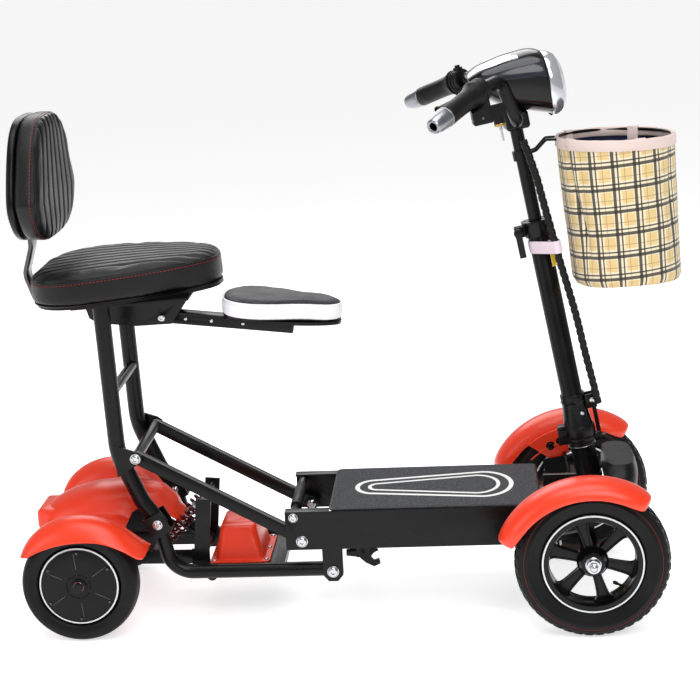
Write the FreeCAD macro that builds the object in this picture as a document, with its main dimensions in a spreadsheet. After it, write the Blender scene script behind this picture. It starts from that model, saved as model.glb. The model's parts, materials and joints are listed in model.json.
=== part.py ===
# Folding four-wheel mobility scooter, as a parametric FreeCAD document.
# Millimetres. +X is forward, +Y is the rider's left and +Z is up.
# The origin is on the ground, half way along the scooter, in its middle plane.
import FreeCAD, Part
import math
import os
import Sketcher
from FreeCAD import Placement, Rotation, Vector

DOC = FreeCAD.newDocument("MobilityScooter")

SIZES = {
    # wheels and their places
    "rear_axle_x": -460, "rear_radius": 98.5, "rear_track": 171, "rear_tyre_width": 50,
    "front_axle_x": 389, "front_radius": 127, "front_track": 205, "front_tyre_width": 58,
    "rear_rim_radius": 69, "front_rim_radius": 84, "axle_radius": 8, "running_gap": 0.06,
    # deck
    "deck_rear": -118, "deck_front": 306, "deck_half": 118, "deck_top": 193, "deck_bottom": 126,
    "deck_sheet": 3, "bay_front": -44,
    # frame pivots: A lower frame, B link bars, C link to seat frame, D seat frame
    "fold_x": -41, "fold_z": 86, "link_x": -91, "link_z": 141,
    "lug_x": -364, "lug_z": 293, "seat_pivot_x": -334, "seat_pivot_z": 177,
    "tube_lane": 100, "tube_radius": 14, "lower_tube_radius": 12.5, "pivot_radius": 5,
    # rear suspension
    "swing_x": -275, "swing_z": 96,
    # steering
    "rake": 10.2, "head_x": 398.5, "head_z": 205, "kingpin_y": 140, "steer_arm": 53,
    "column_radius": 12, "tiller_radius": 18, "stem_radius": 11,
    # seat and child seat
    "seat_tilt": 3, "child_tilt": 6.2, "child_x": -316, "child_z": 517, "backrest_x": -509,
    # the handlebar stands a little turned to the left on the stem
    "bar_turn": 6,
    # basket
    "basket_x": 452, "basket_top": 786, "basket_height": 234, "basket_radius": 98,
}

SHEET = DOC.addObject("Spreadsheet::Sheet", "Sizes")
for row, (alias, number) in enumerate(SIZES.items(), start=1):
    SHEET.set(f"A{row}", alias)
    SHEET.set(f"B{row}", str(number))
    SHEET.setAlias(f"B{row}", alias)
DOC.recompute()


class Size:
    """A length that knows its value and the sheet formula that gives it."""

    def __init__(self, number, text):
        self.number = number
        self.text = text

    def joined(self, other, sign, swap=False):
        mine, theirs = (self.number, self.text), (float(other), text_of(other))
        (a, ta), (b, tb) = (theirs, mine) if swap else (mine, theirs)
        result = {"+": a + b, "-": a - b, "*": a * b, "/": a / b if b else 0.0}[sign]
        return Size(result, f"({ta} {sign} {tb})")

    def __add__(self, other):
        return self.joined(other, "+")

    def __radd__(self, other):
        return self.joined(other, "+", True)

    def __sub__(self, other):
        return self.joined(other, "-")

    def __rsub__(self, other):
        return self.joined(other, "-", True)

    def __mul__(self, other):
        return self.joined(other, "*")

    def __rmul__(self, other):
        return self.joined(other, "*", True)

    def __truediv__(self, other):
        return self.joined(other, "/")

    def __neg__(self):
        return 0 - self

    def __float__(self):
        return float(self.number)


def text_of(value):
    return value.text if isinstance(value, Size) else str(float(value))


class Sheet:
    """Every cell of the sheet, by its alias."""

    def __getattr__(self, alias):
        return Size(float(SHEET.get(alias)), f"Sizes.{alias}")


S = Sheet()
NODES = []
RIGHT, LEFT = -1, 1


def vec(x, y, z):
    return Vector(float(x), float(y), float(z))


def bind(obj, prop, value):
    obj.setExpression(prop, text_of(value))


def put(obj, x, y, z, turn=None):
    """Place an object, its position following the sheet."""
    obj.Placement = Placement(vec(x, y, z), turn or Rotation())
    for axis, value in (("x", x), ("y", y), ("z", z)):
        if isinstance(value, Size):
            bind(obj, f"Placement.Base.{axis}", value)
    return obj


def node(label, obj, place=None):
    """Name a finished sub-part, which becomes its file."""
    obj.Label = label
    if place is not None:
        obj.Placement = place
    NODES.append(obj)
    return obj


def box(x, y, z, turn=None):
    """A block from x[0] to x[1] and so on; with a turn it is turned about its first corner."""
    obj = DOC.addObject("Part::Box", "Block")
    for prop, (low, high) in zip(("Length", "Width", "Height"), (x, y, z)):
        bind(obj, prop, high - low)
    return put(obj, x[0], y[0], z[0], turn)


TURNS = {
    "Z": Rotation(),
    "Y": Rotation(Vector(1, 0, 0), -90),
    "X": Rotation(Vector(0, 1, 0), 90),
}


def rod(radius, start, end, axis, at):
    """A cylinder along an axis from start to end; at holds its other two coordinates in X, Y, Z order."""
    obj = DOC.addObject("Part::Cylinder", "Rod")
    bind(obj, "Radius", radius)
    bind(obj, "Height", end - start)
    place = {"X": (start, *at), "Y": (at[0], start, at[1]), "Z": (*at, start)}[axis]
    return put(obj, *place, TURNS[axis])


def fuse(*parts):
    obj = DOC.addObject("Part::MultiFuse", "Joined")
    obj.Shapes = list(parts)
    obj.Refine = True
    return obj


def cut(base, *tools):
    obj = DOC.addObject("Part::Cut", "Trimmed")
    obj.Base = base
    obj.Tool = tools[0] if len(tools) == 1 else group(*tools)
    return obj


def group(*parts):
    obj = DOC.addObject("Part::Compound", "Set")
    obj.Links = list(parts)
    return obj


def rounded(source, radius):
    """Round every edge of a block."""
    DOC.recompute()
    obj = DOC.addObject("Part::Fillet", "Rounded")
    obj.Base = source
    obj.Edges = [(i + 1, float(radius), float(radius)) for i in range(len(source.Shape.Edges))]
    return obj


def feature(shape, place=None):
    obj = DOC.addObject("Part::Feature", "Shaped")
    obj.Shape = shape
    if place is not None:
        obj.Placement = place
    return obj


PLANES = {"XY": "XY_Plane", "XZ": "XZ_Plane"}


def new_sketch(body, plane, points):
    """A closed outline whose corners follow the sheet."""
    sketch = body.newObject("Sketcher::SketchObject", "Outline")
    origin = [f for f in body.Origin.OriginFeatures if f.Role == PLANES[plane]][0]
    sketch.AttachmentSupport = [(origin, "")]
    sketch.MapMode = "FlatFace"
    count = len(points)
    for i, (u, v) in enumerate(points):
        u2, v2 = points[(i + 1) % count]
        sketch.addGeometry(Part.LineSegment(vec(u, v, 0), vec(u2, v2, 0)), False)
    for i in range(count):
        sketch.addConstraint(Sketcher.Constraint("Coincident", i, 2, (i + 1) % count, 1))
    for i, (u, v) in enumerate(points):
        for kind, value in (("DistanceX", u), ("DistanceY", v)):
            index = sketch.addConstraint(Sketcher.Constraint(kind, -1, 1, i, 1, float(value)))
            if isinstance(value, Size):
                sketch.setExpression(f"Constraints[{index}]", value.text)
    return sketch


def plate(points, start, thickness, plane="XZ"):
    """A PartDesign plate: in plane XZ it lies from Y = start to start + thickness."""
    body = DOC.addObject("PartDesign::Body", "Plate")
    sketch = new_sketch(body, plane, points)
    pad = body.newObject("PartDesign::Pad", "Pad")
    pad.Profile = sketch
    bind(pad, "Length", thickness)
    pad.Reversed = plane == "XZ"
    body.Tip = pad
    return put(body, *((0, start, 0) if plane == "XZ" else (0, 0, start)))


def turned(points, x, y, z):
    """A PartDesign body turned about the Y axis: points are (radius, distance along Y)."""
    body = DOC.addObject("PartDesign::Body", "Turned")
    sketch = new_sketch(body, "XY", points)
    spin = body.newObject("PartDesign::Revolution", "Revolution")
    spin.Profile = sketch
    spin.ReferenceAxis = (sketch, ["V_Axis"])
    spin.Angle = 360
    body.Tip = spin
    return put(body, x, y, z)


def route(points, radius):
    """Straight runs joined by tangent arcs; radius is one bend radius or one for each corner."""
    corners = [Vector(*p) for p in points]
    bends = radius if isinstance(radius, (list, tuple)) else [radius] * (len(corners) - 2)
    edges, start = [], corners[0]
    for before, corner, after, bend in zip(corners, corners[1:], corners[2:], bends):
        back, ahead = (before - corner).normalize(), (after - corner).normalize()
        half = back.getAngle(ahead) / 2
        setback = bend / math.tan(half)
        first, last = corner + back * setback, corner + ahead * setback
        middle = corner + (back + ahead).normalize() * (bend / math.sin(half) - bend)
        edges.append(Part.LineSegment(start, first).toShape())
        edges.append(Part.Arc(first, middle, last).toShape())
        start = last
    edges.append(Part.LineSegment(start, corners[-1]).toShape())
    return Part.Wire(edges)


def pipe(points, bend, radius, bore=0):
    """A round bar or, with a bore, a tube along a route."""
    path = route(points, bend)
    along = Vector(*points[1]) - Vector(*points[0])

    def swept(r):
        ring = Part.Wire([Part.Circle(Vector(*points[0]), along, r).toShape()])
        return path.makePipeShell([ring], True, True)

    solid = swept(float(radius))
    return solid.cut(swept(float(bore))) if bore else solid


def bar(start, end, width, depth):
    """A rectangular bar between two points of the XZ plane, width across Y, centred on its line."""
    a, b = Vector(*start), Vector(*end)
    along = b - a
    shape = Part.makeBox(along.Length, width, depth, Vector(0, -width / 2, -depth / 2))
    shape.Placement = Placement(a, Rotation(Vector(1, 0, 0), along))
    return shape


def loft(sections):
    """A solid through closed polygons or curves given as lists of points joined by smooth curves."""
    wires = []
    for points in sections:
        curve = Part.BSplineCurve()
        curve.interpolate([Vector(*p) for p in points], PeriodicFlag=True)
        wires.append(Part.Wire([curve.toShape()]))
    return Part.makeLoft(wires, True, False)


def superellipse(centre_x, centre_y, half_x, half_y, z, power=2.6, count=20):
    """A rounded outline in a level plane."""
    points = []
    for i in range(count):
        angle = 2 * math.pi * i / count
        c, s = math.cos(angle), math.sin(angle)
        points.append((
            centre_x + half_x * math.copysign(abs(c) ** (2 / power), c),
            centre_y + half_y * math.copysign(abs(s) ** (2 / power), s),
            z,
        ))
    return points


def steering_frame():
    """The steering axis: local Z runs up the raked column from the bottom of the head tube."""
    return Placement(vec(S.head_x, 0, S.head_z), Rotation(Vector(0, 1, 0), -float(S.rake)))


def bar_frame():
    """The steering axis as the handlebar sees it, turned on the stem."""
    return steering_frame().multiply(Placement(Vector(), Rotation(Vector(0, 0, 1), float(S.bar_turn))))


def knuckle_frame(side):
    """A kingpin axis, raked like the column, level with the front axle."""
    where = vec(S.front_axle_x, side * float(S.kingpin_y), S.front_radius)
    return Placement(where, Rotation(Vector(0, 1, 0), -float(S.rake)))


def side_name(stem, side):
    return f"{stem}_{'left' if side == LEFT else 'right'}"


# ---------------------------------------------------------------- chassis

def deck_plate(side):
    """A side plate of the deck with the ear that carries the lower frame's pivot."""
    outer = S.deck_half if side == LEFT else -S.deck_half + S.deck_sheet
    ear = 17
    points = [
        (S.deck_rear, S.deck_bottom), (S.fold_x - ear, S.deck_bottom),
        (S.fold_x - ear, S.fold_z - 6), (S.fold_x - 8, S.fold_z - ear),
        (S.fold_x + 8, S.fold_z - ear), (S.fold_x + ear, S.fold_z - 6),
        (S.fold_x + ear, S.deck_bottom), (S.deck_front, S.deck_bottom),
        (S.deck_front, S.deck_top), (S.deck_rear, S.deck_top),
    ]
    return plate(points, outer - S.deck_sheet, S.deck_sheet)


def make_deck_box():
    half = S.deck_half - S.deck_sheet
    inner = 87
    floor = box((S.bay_front, S.deck_front), (-half, half), (S.deck_bottom, S.deck_bottom + S.deck_sheet))
    front = box((S.deck_front - S.deck_sheet, S.deck_front), (-half, half), (S.deck_bottom, S.deck_top))
    wall = S.bay_front + 12
    bulkhead = box((wall, wall + S.deck_sheet), (-half, half), (S.deck_bottom, S.deck_top))
    flanges = [
        box((S.deck_rear, S.bay_front), (side * 106 - 9, side * 106 + 9), (S.deck_top - 3, S.deck_top))
        for side in (RIGHT, LEFT)
    ]
    cheeks = []
    for side in (RIGHT, LEFT):
        low, high = sorted((side * (inner - 5), side * (inner - 1.5)))
        cheeks.append(box((S.fold_x - 15, S.fold_x + 15), (low, high), (S.fold_z - 15, S.deck_bottom + 3)))
        low, high = sorted((side * (inner - 5), side * float(half)))
        cheeks.append(box((S.fold_x - 2, S.fold_x + 15), (low, high), (S.deck_bottom, S.deck_bottom + 3)))
    hook_ears = [box((-8, 16), y, (72, S.deck_bottom + 1)) for y in ((-9, -5.4), (5.4, 9))]
    hook_pin = rod(3, -11, 11, "Y", (4, 79))
    shell = fuse(deck_plate(RIGHT), deck_plate(LEFT), floor, front, bulkhead, *flanges, *cheeks, *hook_ears,
                 hook_pin)
    bores = [
        rod(S.pivot_radius, -130, 130, "Y", (S.fold_x, S.fold_z)),
        rod(S.pivot_radius, -130, 130, "Y", (S.link_x, S.link_z)),
        rod(5, -130, 130, "Y", (S.deck_rear + 14, S.deck_top - 10)),
    ]
    return node("deck_box", cut(shell, *bores))


def make_battery():
    pack = box((S.bay_front + 40, S.deck_front - 40), (-95, 95), (S.deck_bottom + 3, S.deck_top - 6))
    return node("battery_pack", rounded(pack, 4))


def make_footplate():
    length = (S.bay_front, S.deck_front + 6.5)
    top = box(length, (-S.deck_half, S.deck_half), (S.deck_top, S.deck_top + 3))
    return node("footplate", top)


def make_carry_handle():
    at = (S.deck_rear + 14, S.deck_top - 10)
    bolt = rod(4, -124, 124, "Y", at)
    grip = rod(9, -58, 58, "Y", at)
    sleeves = [rod(7, 58, 112, "Y", at), rod(7, -112, -58, "Y", at)]
    heads = [rod(8, 118.1, 124, "Y", at), rod(8, -124, -118.1, "Y", at)]
    return node("carry_handle", fuse(bolt, grip, *sleeves, *heads))


def make_pivot_bolts():
    """The four frame pivot bolts of the deck and the two kingpins, each a separate solid."""
    bolts = []
    for x, z in ((S.fold_x, S.fold_z), (S.link_x, S.link_z)):
        for side in (RIGHT, LEFT):
            shank = sorted((side * 80, side * 123))
            head = sorted((side * 118.1, side * 124))
            nut = sorted((side * 76, side * (81.9 if x.number == S.fold_x.number else 89)))
            bolts.append(fuse(
                rod(S.pivot_radius, *shank, "Y", (x, z)),
                rod(9, *head, "Y", (x, z)),
                rod(8, *nut, "Y", (x, z)),
            ))
    for side in (RIGHT, LEFT):
        pin = Part.makeCylinder(6, 64, Vector(0, 0, 18)).fuse(Part.makeCylinder(9, 4, Vector(0, 0, 80)))
        pin.Placement = knuckle_frame(side)
        bolts.append(feature(pin))
    return node("pivot_bolts", group(*bolts))


def make_front_beam():
    """Axle beam, neck, head tube and kingpin bosses, welded together."""
    beam = Part.makeBox(50, 256, 27, Vector(370, -128, 167))
    neck = Part.makeBox(96, 60, 28, Vector(float(S.deck_front), -30, 162))
    gusset = Part.makeBox(60, 10, 22, Vector(float(S.deck_front) + 14, -5, 189))
    head = Part.makeCylinder(21, 66)
    sleeve = Part.makeCylinder(17, 42, Vector(0, 0, -40))
    ring = Part.makeCylinder(23.5, 7)
    column = head.fuse([sleeve, ring, Part.makeCylinder(23, 6, Vector(0, 0, 60))])
    column.Placement = steering_frame()
    bore = Part.makeCylinder(float(S.column_radius + S.running_gap), 130, Vector(0, 0, -55))
    bore.Placement = steering_frame()
    bosses, bores = [], [bore]
    for side in (RIGHT, LEFT):
        boss = Part.makeCylinder(13, 38.4, Vector(0, 0, 31.3))
        boss.Placement = knuckle_frame(side)
        hole = Part.makeCylinder(6, 60, Vector(0, 0, 20))
        hole.Placement = knuckle_frame(side)
        bosses.append(boss)
        bores.append(hole)
    solid = beam.fuse([neck, gusset, column, *bosses])
    return node("front_beam", feature(solid.cut(bores).removeSplitter()))


def make_front_cover():
    """The moulded nose cover in front of the head tube, with its slot."""
    wide = loft([
        superellipse(437, 0, 40, 92, 198, 3.2),
        superellipse(441, 0, 38, 88, 222, 3.2),
        superellipse(447, 0, 26, 72, 246, 3.0),
    ])
    hollow = Part.makeCylinder(27, 130, Vector(0, 0, -30))
    hollow.Placement = steering_frame()
    slot = Part.makeBox(8, 130, 12, Vector(452, -65, 222))
    rear = Part.makeBox(80, 300, 90, Vector(345, -150, 180))
    return node("front_cover", feature(wide.cut([hollow, slot, rear])))


def make_frame_latch():
    """Hook that holds the folded frame, hinged under the deck."""
    points = [(-26, 74), (-4, 71), (8, 60), (22, 53), (33, 58), (31, 66), (22, 63), (16, 70),
              (22, 78), (30, 82), (24, 86), (10, 88), (0, 84), (-26, 83)]
    blade = plate(points, -5, 10)
    return node("frame_latch", cut(blade, rod(3.06, -8, 8, "Y", (4, 79))))


# ---------------------------------------------------------------- folding rear frame

def lower_tube(side):
    y = side * float(S.tube_lane)
    drop = (float(S.seat_pivot_x) + 2, y, float(S.seat_pivot_z) - 16)
    corner = (-316, y, float(S.fold_z) + 1)
    end = (float(S.fold_x), y, float(S.fold_z))
    return pipe([drop, corner, end], 45, float(S.lower_tube_radius))


def seat_socket(side):
    """The channel at the top of a lower tube in which the seat frame's tube turns."""
    y = side * float(S.tube_lane)
    x, z = float(S.seat_pivot_x), float(S.seat_pivot_z)
    cheeks = [Part.makeBox(35, 3.5, 36, Vector(-18.5, d, -18)) for d in (-18.3, 14.8)]
    back = Part.makeBox(3, 36.6, 36, Vector(-20.5, -18.3, -18))
    base = Part.makeBox(36, 36.6, 3, Vector(-20.5, -18.3, -20.5))
    shape = back.fuse([*cheeks, base])
    shape = shape.cut(Part.makeCylinder(4, 60, Vector(0, -30, 0), Vector(0, 1, 0)))
    shape.Placement = Placement(Vector(x, y, z), Rotation(Vector(0, 1, 0), -28))
    return shape


def make_lower_frame():
    """Two bent tubes, the tray between them and the tower that holds the shock springs."""
    swing_x, swing_z = float(S.swing_x), float(S.swing_z)
    solid = lower_tube(RIGHT)
    parts = [lower_tube(LEFT), seat_socket(RIGHT), seat_socket(LEFT)]
    parts.append(pipe([(-250, -100, 78), (-250, 100, 78)], [], 9))
    parts.append(Part.makeBox(16, 190, 14, Vector(-142, -95, 80)))
    parts.append(Part.makeBox(112, 176, 4, Vector(-256, -88, 84)))
    for side in (RIGHT, LEFT):
        parts.append(Part.makeBox(31, 4, 39, Vector(-288, side * 62 - 2, 75)))
        parts.append(bar((-272, side * 62, 96), (-262, side * 62, 203), 4, 26))
    parts.append(pipe([(-262, -62, 194), (-262, 62, 194)], [], 5))
    parts.append(pipe([(swing_x, -66, swing_z), (swing_x, 66, swing_z)], [], float(S.pivot_radius)))
    bores, trims = [], []
    for side in (RIGHT, LEFT):
        centre = Vector(float(S.fold_x), side * 87, float(S.fold_z))
        parts.append(Part.makeCylinder(14.5, 26, centre, Vector(0, side, 0)))
        start = Vector(float(S.fold_x), side * 80, float(S.fold_z))
        bores.append(Part.makeCylinder(float(S.pivot_radius + S.running_gap), 45, start, Vector(0, side, 0)))
        trims += [Part.makeBox(40, 8, 40, Vector(-60, side * y - 4, 66)) for y in (83, 117)]
    solid = solid.fuse(parts)
    return node("lower_frame", feature(solid.cut(bores + trims).removeSplitter()))


def make_controller_cover():
    """Red cover over the motor controller: a flange and a tapered box."""
    flange = box((-256, -154), (-70, 70), (88.2, 92))
    shape = Part.makeLoft([
        Part.makePolygon([Vector(-248, -60, 92), Vector(-164, -60, 92), Vector(-164, 60, 92),
                          Vector(-248, 60, 92), Vector(-248, -60, 92)]),
        Part.makePolygon([Vector(-238, -48, 149), Vector(-180, -48, 149), Vector(-180, 48, 149),
                          Vector(-238, 48, 149), Vector(-238, -48, 149)]),
    ], True, True)
    return node("controller_cover", fuse(flange, feature(shape)))


def arch(centre, lip, crown, half_width, mid_y, start, end, sheet=3):
    """A mudguard: a half-oval channel swept round a wheel, from one angle to another."""
    x, z = centre

    def oval(low, high, half, count=9):
        points = []
        for i in range(count):
            angle = math.pi * i / (count - 1)
            points.append(Vector(x + low + (high - low) * math.sin(angle), mid_y - half * math.cos(angle), z))
        return points

    outside = oval(lip, crown, half_width)
    inside = oval(lip, crown - sheet, half_width - sheet)
    outline = outside + inside[::-1] + [outside[0]]
    face = Part.Face(Part.makePolygon(outline))
    face.rotate(Vector(x, mid_y, z), Vector(0, 1, 0), -start)
    return face.revolve(Vector(x, mid_y, z), Vector(0, 1, 0), start - end)


def make_rear_body():
    """The red rear fairing: two mudguards, the middle hump and the panel that joins them."""
    guards = [arch((-441, 1), 171, 218, 42, side * 172, 57, 122) for side in (RIGHT, LEFT)]
    hump = loft([
        [(-548, y, z) for y, z in hump_section(48, 150, 186)],
        [(-500, y, z) for y, z in hump_section(60, 152, 206)],
        [(-440, y, z) for y, z in hump_section(62, 158, 221)],
        [(-380, y, z) for y, z in hump_section(58, 170, 224)],
        [(-340, y, z) for y, z in hump_section(46, 176, 212)],
    ])
    inner = loft([
        [(-546, y, z) for y, z in hump_section(44, 140, 182)],
        [(-500, y, z) for y, z in hump_section(56, 142, 202)],
        [(-440, y, z) for y, z in hump_section(58, 148, 217)],
        [(-380, y, z) for y, z in hump_section(54, 160, 220)],
        [(-338, y, z) for y, z in hump_section(42, 166, 208)],
    ])
    bridge = Part.makeBox(90, 266, 4, Vector(-530, -133, 176))
    shape = hump.fuse([bridge]).cut(inner)
    stem = Part.makeBox(30, 36, 84, Vector(-345, -18, 92))
    solid = guards[0].fuse([guards[1], shape])
    return node("rear_body", feature(solid.cut(stem)))


def hump_section(half, low, high, count=16):
    """An oval with a flat bottom, for the middle of the fairing."""
    points = []
    for i in range(count):
        angle = 2 * math.pi * i / count
        c, s = math.cos(angle), math.sin(angle)
        rise = (high - low) / 2
        across, up = math.copysign(abs(c) ** 0.7, c), math.copysign(abs(s) ** 0.7, s)
        points.append((half * across, low + rise + rise * up))
    return points


def make_tail_lens():
    lens = Part.makeBox(7, 60, 18, Vector(-555, -30, 154))
    return node("tail_lens", feature(lens.makeFillet(3, lens.Edges)))


def make_seat_hinge_bolts():
    bolts = []
    for side in (RIGHT, LEFT):
        at = (S.seat_pivot_x, S.seat_pivot_z)
        outer = sorted((side * 118.4, side * 122.4))
        inner = sorted((side * 76, side * 81.6))
        bolts.append(fuse(
            rod(4, *sorted((side * 78, side * 121)), "Y", at),
            rod(7.5, *outer, "Y", at),
            rod(7, *inner, "Y", at),
        ))
    return node("seat_hinge_bolts", group(*bolts))


def make_swing_arm():
    """Rear axle beam on two trailing arms, with the fixed wheel spindles."""
    x, z = float(S.rear_axle_x), float(S.rear_radius)
    beam = Part.makeBox(30, 276, 26, Vector(x - 15, -138, z - 13))
    parts = []
    for side in (RIGHT, LEFT):
        arm = bar((x, side * 50, z), (float(S.swing_x), side * 50, float(S.swing_z)), 10, 22)
        parts.append(arm)
        eye_at = Vector(float(S.swing_x), side * 50 - 5, float(S.swing_z))
        parts.append(Part.makeCylinder(13, 10, eye_at, Vector(0, 1, 0)))
        parts.append(Part.makeBox(24, 44, 3, Vector(-358, side * 34 - 22, 108)))
        spindle = Part.makeCylinder(float(S.axle_radius), 64, Vector(x, side * 138, z), Vector(0, side, 0))
        parts.append(spindle)
    tube = Part.makeCylinder(10, 100, Vector(float(S.swing_x), -50, float(S.swing_z)), Vector(0, 1, 0))
    seat_bar = Part.makeBox(24, 100, 6, Vector(-358, -50, 105))
    solid = beam.fuse(parts + [tube, seat_bar])
    bore = Part.makeCylinder(float(S.pivot_radius + S.running_gap), 140,
                             Vector(float(S.swing_x), -70, float(S.swing_z)), Vector(0, 1, 0))
    return node("swing_arm", feature(solid.cut(bore).removeSplitter()))


def make_shock_springs():
    """The two coil springs between the swing arm and the shock tower, as plain tubes."""
    springs = []
    for side in (RIGHT, LEFT):
        foot, head = Vector(-337, side * 34, 120.8), Vector(-276, side * 34, 181)
        along = head - foot
        tube = Part.makeCylinder(13, along.Length, foot, along)
        springs.append(tube.cut(Part.makeCylinder(9, along.Length, foot, along)))
    return node("shock_springs", feature(Part.makeCompound(springs)))


def make_hub_motor(side):
    """Hub motor of a rear wheel, with the rim that carries its tyre."""
    rim, wide = S.rear_rim_radius, 21
    bore = S.axle_radius + S.running_gap
    points = [(bore, -wide), (S.rear_rim_radius - 10, -wide), (rim, -wide + 4), (rim, wide - 4),
              (rim - 5, wide), (rim - 8, wide + 2), (bore, wide + 2)]
    if side == RIGHT:
        points = [(r, -y) for r, y in points][::-1]
    wheel = turned(points, S.rear_axle_x, side * S.rear_track, S.rear_radius)
    return node(side_name("hub_motor", side), wheel)


def make_rear_tyre(side):
    r, half = S.rear_radius, S.rear_tyre_width / 2
    points = [(S.rear_rim_radius, -15), (S.rear_rim_radius + 10, -half),
              (r - 12, 2 - half), (r - 3, 8 - half),
              (r, 14 - half), (r, half - 14), (r - 3, half - 8), (r - 12, half - 2),
              (S.rear_rim_radius + 10, half), (S.rear_rim_radius, 15)]
    wheel = turned(points, S.rear_axle_x, side * S.rear_track, S.rear_radius)
    return node(side_name("rear_tyre", side), wheel)


# ---------------------------------------------------------------- link bars and seat

def make_link_bars():
    """Two rectangular link bars joined by a cross tube on the lug axis."""
    b = (float(S.link_x), float(S.link_z))
    c = (float(S.lug_x), float(S.lug_z))
    parts = []
    for side in (RIGHT, LEFT):
        y = side * 101
        parts.append(bar((b[0], y, b[1]), (c[0], y, c[1]), 17, 20))
        parts.append(Part.makeCylinder(12, 17, Vector(b[0], y - 8.5, b[1]), Vector(0, 1, 0)))
        parts.append(Part.makeCylinder(10, 17, Vector(c[0], y - 8.5, c[1]), Vector(0, 1, 0)))
    parts.append(Part.makeCylinder(9, 200, Vector(c[0], -100, c[1]), Vector(0, 1, 0)))
    bore_radius = float(S.pivot_radius + S.running_gap)
    bore = Part.makeCylinder(bore_radius, 260, Vector(b[0], -130, b[1]), Vector(0, 1, 0))
    solid = parts[0].fuse(parts[1:])
    return node("link_bars", feature(solid.cut(bore).removeSplitter()))


def seat_tube_points(side):
    y = side * float(S.tube_lane)
    x, z = float(S.seat_pivot_x), float(S.seat_pivot_z)
    return [(x, y, z), (x - 26, y, z + 37), (-396, y, 300), (-405, y, 553.2)]


def make_seat_frame():
    """Two bent tubes, open inside, with a cross tube and the lug plates of the link bars."""
    solids, bores = [], []
    for side in (RIGHT, LEFT):
        points = seat_tube_points(side)
        first, second = Vector(*points[0]), Vector(*points[1])
        along = (second - first).normalize()
        solids.append(pipe([tuple(first - along * 7), *points[1:]], [50, 120], float(S.tube_radius)))
        top = Vector(*points[-1]) + (Vector(*points[-1]) - Vector(*points[-2])).normalize()
        bores.append(pipe([tuple(first - along * 8), *points[1:-1], tuple(top)], [50, 120], 11.5))
        at = Vector(float(S.seat_pivot_x), side * float(S.tube_lane) - 30, float(S.seat_pivot_z))
        bores.append(Part.makeCylinder(4 + float(S.running_gap), 60, at, Vector(0, 1, 0)))
        lug = Part.Face(Part.makePolygon([
            Vector(-396, 0, 262), Vector(-364, 0, 281), Vector(-353, 0, 289), Vector(-353, 0, 298),
            Vector(-362, 0, 305), Vector(-400, 0, 318), Vector(-396, 0, 262)]))
        lug.translate(Vector(0, side * 113 - 2.2, 0))
        solids.append(lug.extrude(Vector(0, 4.4, 0)))
    solid = Part.makeCylinder(9, 180, Vector(-397, -90, 406), Vector(0, 1, 0)).fuse(solids)
    for bore in bores:
        solid = solid.cut(bore)
    return node("seat_frame", feature(solid.removeSplitter()))


def make_link_lug_bolts():
    bolts = []
    for side in (RIGHT, LEFT):
        ends = sorted((side * 115.4, side * 120.4))
        bolts.append(rod(8, *ends, "Y", (S.lug_x, S.lug_z)))
    return node("link_lug_bolts", group(*bolts))


def seat_underside(x):
    """Height of the plane on which the seat pan sits."""
    return SEAT_FRONT_Z + (x - SEAT_FRONT_X) * math.tan(math.radians(float(S.seat_tilt)))


def make_seat_bracket():
    """Pressed bracket under the seat with the ears of the child seat's arm."""
    rear, front, sheet = -452, -262, 4
    top = Part.makeBox(196, 236, sheet, Vector(0, -118, 0))
    top.Placement = Placement(Vector(rear, 0, seat_underside(rear) - sheet - 0.3),
                              Rotation(Vector(0, 1, 0), -float(S.seat_tilt)))
    sides = []
    for side in (RIGHT, LEFT):
        web = Part.Face(Part.makePolygon([
            Vector(rear + 2, 0, seat_underside(rear) - 3), Vector(-440, 0, 519), Vector(-425, 0, 510),
            Vector(-360, 0, 503), Vector(-300, 0, 505), Vector(-276, 0, 540),
            Vector(front, 0, seat_underside(front) - 3), Vector(rear + 2, 0, seat_underside(rear) - 3)]))
        web.translate(Vector(0, side * 30 - 2, 0))
        sides.append(web.extrude(Vector(0, 4, 0)))
    pin = Part.makeCylinder(5, 72, Vector(float(S.child_x), -36, float(S.child_z)), Vector(0, 1, 0))
    return node("seat_bracket", feature(top.fuse([*sides, pin])))


def slab(points, low, high, edge, tilt):
    """A padded slab from a plan outline, its edges rounded, then tilted about the outline's first corner."""
    curve = Part.BSplineCurve()
    curve.interpolate([Vector(x, y, low) for x, y in points], PeriodicFlag=True)
    solid = Part.Face(Part.Wire([curve.toShape()])).extrude(Vector(0, 0, high - low))
    if edge:
        flat = [e for e in solid.Edges if abs(e.BoundBox.ZLength) < 0.01]
        solid = solid.makeFillet(edge, flat)
    solid.rotate(Vector(points[0][0], 0, low), Vector(0, 1, 0), tilt)
    return solid


SEAT_FRONT_X, SEAT_FRONT_Z = -213, 568


def seat_outline(rear, front, half_rear, half_front, count=24):
    """Plan of a seat, wide at the rear and narrower at the front; the first corner is the front."""
    middle, reach = (rear + front) / 2, (front - rear) / 2
    points = []
    for i in range(count):
        angle = 2 * math.pi * i / count
        c, s = math.cos(angle), math.sin(angle)
        along = math.copysign(abs(c) ** 0.75, c)
        half = half_rear + (half_front - half_rear) * (along + 1) / 2
        points.append((middle + reach * along, half * math.copysign(abs(s) ** 0.75, s)))
    return points


def make_seat():
    """Seat pan and cushion, both rising a little towards the front."""
    tilt, level = -float(S.seat_tilt), SEAT_FRONT_Z
    base = slab(seat_outline(-524, SEAT_FRONT_X, 164, 78), level, level + 7, 0, tilt)
    pad = slab(seat_outline(-530, SEAT_FRONT_X + 2, 172, 84), level + 7.4, level + 66, 20, tilt)
    node("seat_base", feature(base))
    return node("seat_pad", feature(pad))


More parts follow.
